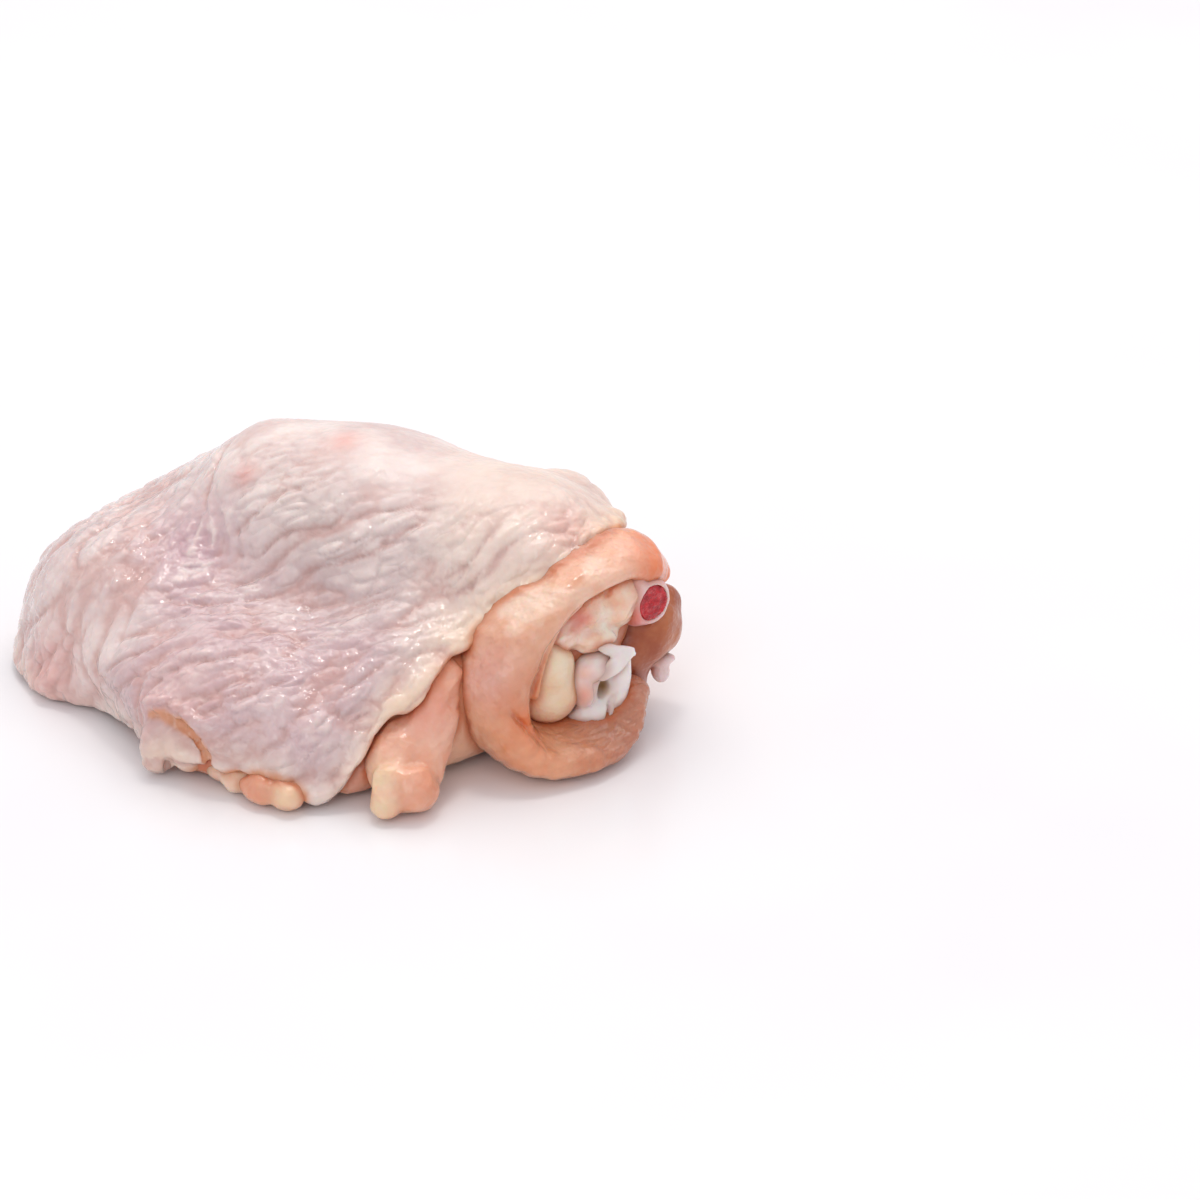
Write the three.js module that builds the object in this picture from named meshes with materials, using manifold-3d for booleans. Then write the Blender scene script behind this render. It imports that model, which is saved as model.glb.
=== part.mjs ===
// A raw chicken thigh lying skin side up, as it comes from the butcher: a sheet of pale pimpled skin
// draped over the thigh muscles, and at one end the cut knee joint, where a thick muscle curls round
// the cartilage, fat and bone of the joint.
//
// Frame, in millimetres: +X runs along the thigh to the cut knee end, +Y to the far side, +Z up from
// the surface that the thigh lies on.

import * as THREE from 'three';
import { mergeVertices } from 'three/addons/utils/BufferGeometryUtils.js';
import Module from 'manifold-3d';

// ---------------------------------------------------------------- driving dimensions

const GAP = 0.3; // clearance between two neighbouring pieces
const CUT_CLEARANCE = 0.4; // clearance round a piece that bends, cut into its neighbour
const SKIN_THICKNESS = 1.6;
const MEAT_UNDER_SKIN = SKIN_THICKNESS + 0.4; // how far the meat lies inside the body's form
const BARE_MEAT_INSET = 0.9; // and where no skin covers it
const CREASE = 1.5; // angle, in degrees, between the skin's edge and the bare meat beside it
const BLEND = 8; // how softly the lobes of the body run into each other
const FLOOR_ROUNDING = 2.7; // rounding where the sides turn under
const UNDERSIDE_RELIEF = 0.7; // depth of the seams between the muscles underneath

// the middle of the part's box as the sizes below give it, which becomes the origin
const BOX_MIDDLE = new THREE.Vector3(-5.88, 3.05, 0);

// the point that the skin and the meat are wrapped around
const HEART = new THREE.Vector3(-4.5, 11, 11);

// the muscles as lobes: middle, half sizes, and turn about Z in degrees
const BODY_LOBES = {
  main: { centre: [-9.5, 20, 16], radii: [36.5, 27, 28], yaw: 10 },
  crown: { centre: [-30, 17, 21.5], radii: [12, 14, 19.5], yaw: 0 },
  hip: { centre: [-42, -3, 8.5], radii: [25, 24, 19.5], yaw: 15 },
  hipBack: { centre: [-37, 17, 13.5], radii: [25, 22, 18.5], yaw: 0 },
  frontSlope: { centre: [-10, -12.5, 5.5], radii: [38, 26.5, 17], yaw: -4 },
  hipSkirt: { centre: [-44, -15.5, 0], radii: [19, 13.5, 7], yaw: 12 },
  knee: { centre: [20, 23, 20], radii: [26, 22, 22.5], yaw: 10 },
  kneeFront: { centre: [17, 0, 9], radii: [19, 20, 17], yaw: 25 },
  backRidge: { centre: [21, 41, 27], radii: [7, 5, 8.5], yaw: 0 },
  kneeCore: { centre: [27, 19, 10], radii: [15, 20, 12], yaw: 0 },
  frontCorner: { centre: [9, -20, 0], radii: [15, 15, 7], yaw: 0 },
};

// where the side draws in low down, between the hip and the flap of skin in front: this lobe is taken
// away from the others
const SIDE_HOLLOW = { centre: [-28.5, -41.5, 0], radii: [16, 10, 14], yaw: -20 };
const HOLLOW_BLEND = 5;

// where the skin ends: direction round the heart and angle down from straight up, in degrees
const SKIN_EDGE = [
  { azimuth: -148, zenith: 99 },
  { azimuth: -132, zenith: 102 },
  { azimuth: -102, zenith: 101 },
  { azimuth: -93, zenith: 99 },
  { azimuth: -80, zenith: 95 },
  { azimuth: -70, zenith: 95 },
  { azimuth: -61, zenith: 100 },
  { azimuth: -43, zenith: 86 },
  { azimuth: -25, zenith: 74 },
  { azimuth: -2, zenith: 65 },
  { azimuth: 15, zenith: 62 },
  { azimuth: 31, zenith: 65 },
  { azimuth: 50, zenith: 76 },
  { azimuth: 65, zenith: 92 },
  { azimuth: 80, zenith: 106 },
  { azimuth: 170, zenith: 108 },
];

// mesh fineness of the wrapped pieces
const AROUND = 48;
const SKIN_ROWS = 15;
const BARE_ROWS = 10;
const ROW_CROWDING = 1.3; // above 1, the skin's rows lie closer together towards its edge
const ROD_SIDES = 14;
const SMALL = { sides: 8, rows: 6 };
const DEGREES_PER_MM = 1.2; // the angle that a millimetre of skin covers, seen from the heart

// the cut knee: a point on the surface below its near edge, and the way that its face looks
const KNEE_FOOT = new THREE.Vector3(32.8, -6.3, 0);
const KNEE_TURN = 24.7;

const WET_ROUGHNESS = 0.35;
const COLOURS = {
  skin: '#dcc8c6',
  meat: '#d9a58d',
  kneeMuscle: '#e0aa8c',
  innerMeat: '#b97a66',
  cartilage: '#e4dfe0',
  fatPad: '#ead0ad',
  jointFat: '#e6c3b0',
  bone: '#e8bfbc',
  marrow: '#a93642',
  fat: '#ecbfa0',
};

// ---------------------------------------------------------------- smooth lobes

function smoothMin(a, b, softness) {
  const overlap = Math.max(softness - Math.abs(a - b), 0) / softness;
  return Math.min(a, b) - overlap * overlap * softness * 0.25;
}

function smoothMax(a, b, softness) {
  return -smoothMin(-a, -b, softness);
}

// about how far a point is outside a lobe, negative inside it
function lobeDistance(point, lobe) {
  const [x, y, z] = lobe.centre;
  const [rx, ry, rz] = lobe.radii;
  const turn = THREE.MathUtils.degToRad(lobe.yaw);
  const dx = point.x - x;
  const dy = point.y - y;
  const along = dx * Math.cos(turn) + dy * Math.sin(turn);
  const across = dy * Math.cos(turn) - dx * Math.sin(turn);
  const up = point.z - z;
  const reach = Math.hypot(along / rx, across / ry, up / rz);
  const steepness = Math.hypot(along / rx ** 2, across / ry ** 2, up / rz ** 2);
  return (reach * (reach - 1)) / Math.max(steepness, 1e-6);
}

// shallow seams between the muscles of the bare underside
function undersideSeams(point) {
  return UNDERSIDE_RELIEF * Math.sin(point.y / 8 + 0.8 * Math.sin(point.x / 19));
}

function bodyDistance(point) {
  let distance = Infinity;
  for (const lobe of Object.values(BODY_LOBES)) {
    const next = lobeDistance(point, lobe);
    distance = distance === Infinity ? next : smoothMin(distance, next, BLEND);
  }
  distance = smoothMax(distance, -lobeDistance(point, SIDE_HOLLOW), HOLLOW_BLEND);
  const centred = Math.hypot(point.x + 4, point.y - 10);
  const bare = THREE.MathUtils.smoothstep(34 - centred, 0, 14);
  const underside = bare * undersideSeams(point) - point.z;
  return smoothMax(distance, underside, FLOOR_ROUNDING);
}

// ---------------------------------------------------------------- wrapping a sphere onto the body

const FAR = 90;
const HALVINGS = 26;
const WELD_TOLERANCE = 1e-4;

// the point where a ray from the heart leaves the body's form swollen by the given amount
function surfaceAlong(direction, swell) {
  let near = 0;
  let far = FAR;
  const point = new THREE.Vector3();
  for (let step = 0; step < HALVINGS; step += 1) {
    const middle = (near + far) / 2;
    point.copy(direction).multiplyScalar(middle).add(HEART);
    if (bodyDistance(point) < swell) {
      near = middle;
    } else {
      far = middle;
    }
  }
  return point;
}

// the skin edge's angle from straight up in a given direction, eased between the listed places
function edgeZenith(azimuth) {
  const first = SKIN_EDGE[0].azimuth;
  const turned = THREE.MathUtils.euclideanModulo(azimuth - first, 360) + first;
  const closed = [...SKIN_EDGE, { ...SKIN_EDGE[0], azimuth: first + 360 }];
  const after = closed.findIndex((place) => place.azimuth > turned);
  const from = closed[after - 1];
  const to = closed[after];
  const share = THREE.MathUtils.smoothstep(turned, from.azimuth, to.azimuth);
  return THREE.MathUtils.lerp(from.zenith, to.zenith, share);
}

// A closed form with one vertex at each place and no collapsed triangle, ready to be shaped
function welded(geometry) {
  geometry.deleteAttribute('normal');
  geometry.deleteAttribute('uv');
  const merged = mergeVertices(geometry, WELD_TOLERANCE);
  const corners = merged.index.array;
  const kept = [];
  for (let i = 0; i < corners.length; i += 3) {
    const [a, b, c] = corners.slice(i, i + 3);
    if (a !== b && b !== c && c !== a) {
      kept.push(a, b, c);
    }
  }
  merged.setIndex(kept);
  return merged;
}

// moves every vertex to where the given function puts it
function reshape(geometry, move) {
  const position = geometry.attributes.position;
  const point = new THREE.Vector3();
  for (let i = 0; i < position.count; i += 1) {
    move(point.fromBufferAttribute(position, i));
    position.setXYZ(i, point.x, point.y, point.z);
  }
  return geometry;
}

// the same form seen in a mirror, with its faces still pointing out
function mirrored(geometry) {
  geometry.scale(-1, 1, 1);
  const corners = geometry.index.array;
  for (let i = 0; i < corners.length; i += 3) {
    [corners[i], corners[i + 1]] = [corners[i + 1], corners[i]];
  }
  return geometry;
}

// A sphere whose rows are laid on the body. rowPlace(row, edge) gives each row's angle from straight
// up, in degrees, and how far the form is swollen there; edge is the skin edge's angle in that column.
// A mirrored sphere under the skin is split into triangles as the skin's inner sheet is.
function wrapSphere(rows, rowPlace, mirror = false) {
  const plain = welded(new THREE.SphereGeometry(1, AROUND, rows).rotateX(Math.PI / 2));
  const sphere = mirror ? mirrored(plain) : plain;
  return reshape(sphere, (point) => {
    const row = Math.round((Math.acos(THREE.MathUtils.clamp(point.z, -1, 1)) / Math.PI) * rows);
    const around = Math.atan2(point.y, point.x);
    const place = rowPlace(row, edgeZenith(THREE.MathUtils.radToDeg(around)));
    const polar = THREE.MathUtils.degToRad(place.zenith);
    point.set(Math.sin(polar) * Math.cos(around), Math.sin(polar) * Math.sin(around), Math.cos(polar));
    point.copy(surfaceAlong(point, place.swell));
  });
}

// ---------------------------------------------------------------- solids

const wasm = await Module();
wasm.setup();

function solid(geometry) {
  const mesh = new wasm.Mesh({
    numProp: 3,
    vertProperties: new Float32Array(geometry.attributes.position.array),
    triVerts: new Uint32Array(geometry.index.array),
  });
  return new wasm.Manifold(mesh);
}

function geometryOf(manifold) {
  const mesh = manifold.getMesh();
  const geometry = new THREE.BufferGeometry();
  geometry.setAttribute('position', new THREE.BufferAttribute(new Float32Array(mesh.vertProperties), 3));
  geometry.setIndex(new THREE.BufferAttribute(new Uint32Array(mesh.triVerts), 1));
  geometry.computeVertexNormals();
  return geometry;
}

function largestBody(manifold) {
  const bodies = manifold.decompose();
  return bodies.reduce((best, next) => (next.volume() > best.volume() ? next : best));
}

// ---------------------------------------------------------------- the knee's own directions

const KNEE_ALONG = new THREE.Vector3(Math.sin(THREE.MathUtils.degToRad(KNEE_TURN)),
  Math.cos(THREE.MathUtils.degToRad(KNEE_TURN)), 0);
const KNEE_OUT = new THREE.Vector3(KNEE_ALONG.y, -KNEE_ALONG.x, 0);

// the direction that the folds of skin and fat in front lie across
const FOLD_ACROSS = new THREE.Vector3(0.82, 0.57, 0);

// a place on the cut knee: along its face from the near edge, out of it, and up
function kneePlace([along, out, up]) {
  return KNEE_FOOT.clone()
    .addScaledVector(KNEE_ALONG, along)
    .addScaledVector(KNEE_OUT, out)
    .add(new THREE.Vector3(0, 0, up));
}

// ---------------------------------------------------------------- round soft pieces

// A fold or roll of flesh: a capsule bent along stations, each with its place [x, y, z], half height
// and half width. The width lies along the given direction.
function bentRoll({ stations, widthAlong, sides, steps, grow = 0 }) {
  const curve = new THREE.CatmullRomCurve3(stations.map((station) => new THREE.Vector3(...station.at)));
  const meanHeight = stations.reduce((sum, station) => sum + station.high, 0) / stations.length;
  const straight = Math.max(curve.getLength() / meanHeight - 2, 0.2);
  const capsule = welded(new THREE.CapsuleGeometry(1, straight, 4, sides, steps));
  return reshape(capsule, (point) => {
    const run = THREE.MathUtils.clamp(point.y / (straight + 2) + 0.5, 0, 1);
    const tangent = curve.getTangent(run);
    const wide = widthAlong.clone().addScaledVector(tangent, -widthAlong.dot(tangent)).normalize();
    const high = new THREE.Vector3().crossVectors(tangent, wide);
    const place = run * (stations.length - 1);
    const from = Math.min(Math.floor(place), stations.length - 2);
    const share = THREE.MathUtils.smoothstep(place - from, 0, 1);
    const halfHigh = THREE.MathUtils.lerp(stations[from].high, stations[from + 1].high, share) + grow;
    const halfWide = THREE.MathUtils.lerp(stations[from].wide, stations[from + 1].wide, share) + grow;
    const [sideways, lengthways] = [point.x, point.z];
    point.copy(curve.getPoint(run))
      .addScaledVector(high, sideways * halfHigh)
      .addScaledVector(wide, lengthways * halfWide)
      .addScaledVector(tangent, (run - 0.5) * 2 * grow);
    point.z = Math.max(point.z, 0);
  });
}

// a set of named rolls of skin or fat that lie across the fold in front
function foldedRolls(folds, grow) {
  return Object.values(folds).map((fold) => bentRoll({ ...fold, widthAlong: FOLD_ACROSS, grow }));
}

// A lump of flesh, fat or cartilage: a ball with uneven bumps, stretched to its half sizes and turned
function lump({ at, radii, turn = [0, 0, 0], bumps = 0.06, phase = 0, sides = 10, rows = 7, grow = 0 }) {
  const rotation = new THREE.Euler(...turn.map(THREE.MathUtils.degToRad), 'ZYX');
  const middle = new THREE.Vector3(...at);
  return reshape(welded(new THREE.SphereGeometry(1, sides, rows)), (point) => {
    const ripple = Math.sin(3 * point.x + phase) * Math.cos(2.6 * point.y - phase);
    const reach = 1 + bumps * (ripple + Math.sin(2.2 * point.z + 2 * phase));
    point.set(
      point.x * (radii[0] * reach + grow),
      point.y * (radii[1] * reach + grow),
      point.z * (radii[2] * reach + grow),
    );
    point.applyEuler(rotation).add(middle);
    point.z = Math.max(point.z, 0);
  });
}

// ---------------------------------------------------------------- the skin

// how far down the skin a row lies, from 0 on top to 1 at its edge, with the rows closer towards the edge
function skinRow(row) {
  return 1 - (1 - row / SKIN_ROWS) ** ROW_CROWDING;
}

// one sheet over the body and a second one just inside it, joined along the skin's edge
function skinSheet(grow) {
  const rows = 2 * SKIN_ROWS + 1;
  const overhang = grow * DEGREES_PER_MM;
  return wrapSphere(rows, (row, edge) => {
    const outside = row <= SKIN_ROWS;
    const zenith = skinRow(outside ? row : rows - row) * (edge + overhang);
    return { zenith, swell: outside ? grow : -SKIN_THICKNESS - grow };
  });
}

// thick rolled parts of the skin's edge in front
const SKIN_FOLDS = {
  hipRoll: {
    stations: [
      { at: [-49, -28, 2], high: 1.8, wide: 2 },
      { at: [-44, -28.6, 3], high: 2.4, wide: 2.8 },
      { at: [-38.5, -27, 3.4], high: 2.2, wide: 2.6 },
    ],
    sides: 8,
    steps: 6,
  },
  frontFlap: {
    stations: [
      { at: [-8.4, -34.8, 9.2], high: 3, wide: 6.4 },
      { at: [-8, -36.8, 6.4], high: 3.9, wide: 7.4 },
      { at: [-8, -39, 3.4], high: 3.3, wide: 6.8 },
    ],
    sides: 10,
    steps: 3,
  },
};

// ---------------------------------------------------------------- the pieces of the cut knee and the fat

// the muscle that curls round the joint, from above the bone, down the near side and under the joint
const KNEE_MUSCLE = [
  { place: [43, -8, 26.5], high: 3.4, wide: 6 },
  { place: [37, -6.5, 30.8], high: 4.2, wide: 8.2 },
  { place: [28, -6, 32.2], high: 3.3, wide: 9 },
  { place: [20, -5.2, 30.2], high: 3.3, wide: 9.2 },
  { place: [13, -3.6, 26.2], high: 4.1, wide: 9.6 },
  { place: [7, -2.6, 19.8], high: 5.4, wide: 10 },
  { place: [4.3, -1, 11.4], high: 5.9, wide: 10.2 },
  { place: [8, 2.6, 4.9], high: 4.7, wide: 10.8 },
  { place: [16, 4.6, 3.7], high: 4, wide: 11.4 },
  { place: [24.5, 2.2, 4.1], high: 4.2, wide: 9.8 },
  { place: [30, -2, 7.2], high: 4.2, wide: 7.2 },
];

// the sawn thin bone: its middle along and up the knee's face, and where it starts and ends
const BONE = { along: 37.6, up: 23.8, back: -12, out: 1.4, wide: 3.1, high: 3.9 };
const MARROW_SHARE = 0.72;
const MARROW_DEPTH = 6;

// the heel of fat in front: two folds that come down from under the skin's edge, and its pale end
const HEEL_OF_FAT = {
  fold: {
    stations: [
      { at: [27.6, -7.2, 17.5], high: 3.6, wide: 4 },
      { at: [29, -11.5, 13.5], high: 3.8, wide: 4.8 },
      { at: [31.4, -17.5, 9.2], high: 4.6, wide: 5.6 },
      { at: [34.6, -23, 5.8], high: 5, wide: 5.6 },
      { at: [35, -27.2, 4.6], high: 4.6, wide: 5.2 },
    ],
    sides: 10,
    steps: 6,
  },
  nearFold: {
    stations: [
      { at: [26.5, -13, 11.5], high: 3, wide: 4 },
      { at: [27.6, -20.5, 9], high: 4.2, wide: 5.4 },
      { at: [30, -24.5, 6], high: 4.4, wide: 5 },
    ],
    sides: 8,
    steps: 3,
  },
  paleEnd: {
    stations: [
      { at: [29.8, -30.2, 3.4], high: 2.6, wide: 2.9 },
      { at: [27.4, -27.4, 8.2], high: 2.2, wide: 2.5 },
    ],
    sides: 8,
    steps: 2,
  },
};

// an oval rod along the knee's outward direction
function kneeRod({ from, to, wide, high, grow }) {
  const rod = welded(new THREE.CylinderGeometry(1, 1, to - from + 2 * grow, ROD_SIDES));
  return reshape(rod, (point) => {
    const along = BONE.along + point.x * (wide + grow);
    const out = (from + to) / 2 + point.y;
    point.copy(kneePlace([along, out, BONE.up - point.z * (high + grow)]));
  });
}

// a lump on the cut knee, its half sizes out of the knee's face, along it and up
function kneeLump({ place, radii, roll = 0, lean = 0, twist = 0, ...finish }) {
  return lump({ at: kneePlace(place).toArray(), radii, turn: [roll, lean, twist - KNEE_TURN], ...finish });
}

// Every piece but the skin and the large muscle, with the solids that it is fused from. A piece is
// cut back round those before it.
const PIECES = [
  {
    name: 'marrow',
    colour: COLOURS.marrow,
    forms: (grow) => [
      kneeRod({
        from: BONE.out - MARROW_DEPTH,
        to: BONE.out - GAP,
        wide: BONE.wide * MARROW_SHARE,
        high: BONE.high * MARROW_SHARE,
        grow,
      }),
    ],
  },
  {
    name: 'bone_stub',
    colour: COLOURS.bone,
    forms: (grow) => [
      kneeRod({ from: BONE.back, to: BONE.out, wide: BONE.wide, high: BONE.high, grow }),
      kneeLump({ place: [34.6, -1.6, 25.8], radii: [3.4, 2.4, 5.2], roll: -16, bumps: 0, ...SMALL, grow }),
    ],
  },
  {
    name: 'knee_cartilage',
    colour: COLOURS.cartilage,
    forms: (grow) => [
      kneeLump({ place: [25, -0.4, 11.2], radii: [5, 5.6, 6], roll: -10, grow }),
      kneeLump({ place: [23, 1.8, 7.6], radii: [3.6, 5.2, 2.6], bumps: 0, ...SMALL, grow }),
      kneeLump({ place: [27.8, 3, 12], radii: [2.6, 2.3, 7], roll: -14, bumps: 0, ...SMALL, grow }),
      kneeLump({ place: [23.6, 2.2, 15.2], radii: [3.2, 4, 2.4], roll: 25, bumps: 0, ...SMALL, grow }),
    ],
  },
  {
    name: 'fat_pad',
    colour: COLOURS.fatPad,
    forms: (grow) => [
      kneeLump({ place: [15.4, 0, 14.6], radii: [4.4, 5.4, 7.8], bumps: 0.03, grow }),
      kneeLump({ place: [15.8, 0.6, 10.8], radii: [4.5, 5.4, 4.8], bumps: 0.03, phase: 0.9, grow }),
    ],
  },
  {
    name: 'joint_fat',
    colour: COLOURS.jointFat,
    forms: (grow) => [
      kneeLump({ place: [23.5, -2.5, 25], radii: [5.6, 7, 5.8], roll: 10, phase: 1.9, grow }),
      kneeLump({ place: [30, -1.8, 25.6], radii: [5.2, 4.2, 6], roll: -14, bumps: 0.04, grow }),
      kneeLump({ place: [18.4, -2, 22.4], radii: [5.2, 4, 4.6], roll: 30, bumps: 0.04, ...SMALL, grow }),
    ],
  },
  {
    name: 'inner_meat',
    colour: COLOURS.innerMeat,
    forms: (grow) => [
      kneeLump({ place: [38.8, -5.8, 15.4], radii: [6.6, 7.2, 6.6], phase: 0.4, grow }),
      kneeLump({ place: [34, -4.2, 7.4], radii: [5, 4, 6.8], bumps: 0.04, ...SMALL, grow }),
    ],
  },
  {
    name: 'cartilage_flap',
    colour: COLOURS.cartilage,
    forms: (grow) => [
      kneeLump({
        place: [26.6, 5.2, 18.2],
        radii: [1.2, 3.8, 2],
        roll: 10,
        lean: 15,
        twist: -18,
        ...SMALL,
        grow,
      }),
    ],
  },
  {
    name: 'ligament_tag',
    colour: COLOURS.bone,
    forms: (grow) => [
      kneeLump({ place: [42.6, -3.5, 8.2], radii: [3, 3, 2.4], lean: 15, ...SMALL, grow }),
    ],
  },
  {
    name: 'knee_muscle',
    colour: COLOURS.kneeMuscle,
    forms: (grow) => [
      bentRoll({
        stations: KNEE_MUSCLE.map(({ place, ...size }) => ({ at: kneePlace(place).toArray(), ...size })),
        widthAlong: KNEE_OUT,
        sides: 10,
        steps: 18,
        grow,
      }),
    ],
  },
  {
    name: 'front_fat_lobe',
    colour: COLOURS.fat,
    forms: (grow) => foldedRolls(HEEL_OF_FAT, grow),
  },
  {
    name: 'edge_fat_near_fold',
    colour: COLOURS.fat,
    forms: (grow) => [
      lump({ at: [1.4, -35.2, 3.2], radii: [4.8, 3.6, 3.6], turn: [0, 0, 10], phase: 0.5, grow }),
    ],
  },
  {
    name: 'edge_fat_near_corner',
    colour: COLOURS.fat,
    forms: (grow) => [
      lump({ at: [11, -35.4, 3.2], radii: [6.6, 4, 3.7], turn: [0, 0, 10], phase: 2.1, grow }),
    ],
  },
];

// ---------------------------------------------------------------- assembly

// the large muscle: under the skin down to its edge, and bare from there to the middle underneath
function meatWrap() {
  return wrapSphere(SKIN_ROWS + BARE_ROWS, (row, edge) => {
    if (row <= SKIN_ROWS) {
      return { zenith: skinRow(row) * edge, swell: -MEAT_UNDER_SKIN };
    }
    const share = (row - SKIN_ROWS - 1) / (BARE_ROWS - 1);
    return { zenith: THREE.MathUtils.lerp(edge + CREASE, 180, share), swell: -BARE_MEAT_INSET };
  }, true);
}

function fused(forms) {
  return forms.map(solid).reduce((whole, form) => whole.add(form));
}

const thigh = new THREE.Group();

function addPiece(name, manifold, colour) {
  const material = new THREE.MeshStandardMaterial({ color: colour, roughness: WET_ROUGHNESS, metalness: 0 });
  const mesh = new THREE.Mesh(geometryOf(largestBody(manifold)), material);
  mesh.name = name;
  mesh.position.sub(BOX_MIDDLE);
  thigh.add(mesh);
}

addPiece('skin', fused([skinSheet(0), ...foldedRolls(SKIN_FOLDS, 0)]), COLOURS.skin);

const taken = [fused([skinSheet(GAP), ...foldedRolls(SKIN_FOLDS, GAP)])];
let meat = solid(meatWrap()).subtract(fused(foldedRolls(SKIN_FOLDS, GAP)));
for (const piece of PIECES) {
  const body = taken.reduce((rest, cutter) => rest.subtract(cutter), fused(piece.forms(0)));
  const cutter = fused(piece.forms(CUT_CLEARANCE));
  taken.push(cutter);
  meat = meat.subtract(cutter);
  addPiece(piece.name, body, piece.colour);
}
addPiece('thigh_meat', meat, COLOURS.meat);

export default thigh;
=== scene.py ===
import logging
import math
from dataclasses import dataclass, field, replace
from enum import Enum
from typing import Callable, Sequence

import bpy
import numpy as np
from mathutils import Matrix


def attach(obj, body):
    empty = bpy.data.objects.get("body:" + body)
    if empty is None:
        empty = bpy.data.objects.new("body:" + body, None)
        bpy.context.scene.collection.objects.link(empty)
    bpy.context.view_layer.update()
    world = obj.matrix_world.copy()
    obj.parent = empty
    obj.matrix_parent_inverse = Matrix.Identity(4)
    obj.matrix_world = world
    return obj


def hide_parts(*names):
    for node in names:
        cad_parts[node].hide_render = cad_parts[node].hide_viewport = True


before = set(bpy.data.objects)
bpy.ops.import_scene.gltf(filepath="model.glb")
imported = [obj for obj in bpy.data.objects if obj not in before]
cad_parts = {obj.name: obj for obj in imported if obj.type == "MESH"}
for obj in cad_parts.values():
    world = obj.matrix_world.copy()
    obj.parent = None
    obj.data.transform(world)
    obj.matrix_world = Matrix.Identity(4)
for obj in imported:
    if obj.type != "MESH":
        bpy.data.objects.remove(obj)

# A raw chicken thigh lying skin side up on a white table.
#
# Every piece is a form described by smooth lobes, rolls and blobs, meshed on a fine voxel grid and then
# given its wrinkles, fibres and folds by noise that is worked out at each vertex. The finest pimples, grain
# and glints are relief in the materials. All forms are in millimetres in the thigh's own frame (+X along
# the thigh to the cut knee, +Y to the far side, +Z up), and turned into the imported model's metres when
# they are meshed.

import openvdb
from mathutils import Vector

LOG = logging.getLogger("thigh")
MM = 0.001
COARSER = 1.0  # trial renders use larger voxels
FRAME_MIDDLE = np.array([-5.88, 3.05, 0.0])  # the millimetre frame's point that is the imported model's origin
TABLE_GAP = 0.02  # how far above the table the lowest vertices stay
Array = np.ndarray
Field = Callable[[Array], Array]
Point = tuple[float, float, float]
Spot = tuple[float, Point, float]


# ---------------------------------------------------------------- numbers on arrays

def smoothstep(values: Array, low: float, high: float) -> Array:
    """Eases values from 0 at low to 1 at high.

    Args:
        values: The numbers to ease.
        low: Where the result is still 0.
        high: Where the result has become 1.

    Returns:
        The eased numbers, from 0 to 1.
    """
    share = np.clip((values - low) / (high - low), 0.0, 1.0)
    return share * share * (3.0 - 2.0 * share)


def smooth_min(a: Array, b: Array, softness: float) -> Array:
    """Joins two distance fields with a rounded seam.

    Args:
        a: Distances to the first form, in millimetres.
        b: Distances to the second form.
        softness: Width of the rounding, in millimetres.

    Returns:
        Distances to both forms together.
    """
    overlap = np.maximum(softness - np.abs(a - b), 0.0) / softness
    return np.minimum(a, b) - overlap * overlap * softness * 0.25


def smooth_max(a: Array, b: Array, softness: float) -> Array:
    """Keeps what two distance fields have in common, with a rounded edge.

    Args:
        a: Distances to the first form, in millimetres.
        b: Distances to the second form.
        softness: Width of the rounding, in millimetres.

    Returns:
        Distances to the common part.
    """
    return -smooth_min(-a, -b, softness)


def spot(points: Array, centre: Sequence[float], radius: float) -> Array:
    """A soft round spot.

    Args:
        points: Points in millimetres, one a row.
        centre: The spot's middle.
        radius: Distance at which the spot has faded to about a third.

    Returns:
        Strength of the spot at each point, from 0 to 1.
    """
    away = np.linalg.norm(points - np.asarray(centre), axis=1)
    return np.exp(-((away / radius) ** 2))


def spots(points: Array, places: Sequence[Spot]) -> Array:
    """Several soft round spots together.

    Args:
        points: Points in millimetres, one a row.
        places: The strength, middle and radius of each spot.

    Returns:
        The sum of the spots at each point.
    """
    return sum(strength * spot(points, middle, radius) for strength, middle, radius in places)


# ---------------------------------------------------------------- noise

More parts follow.
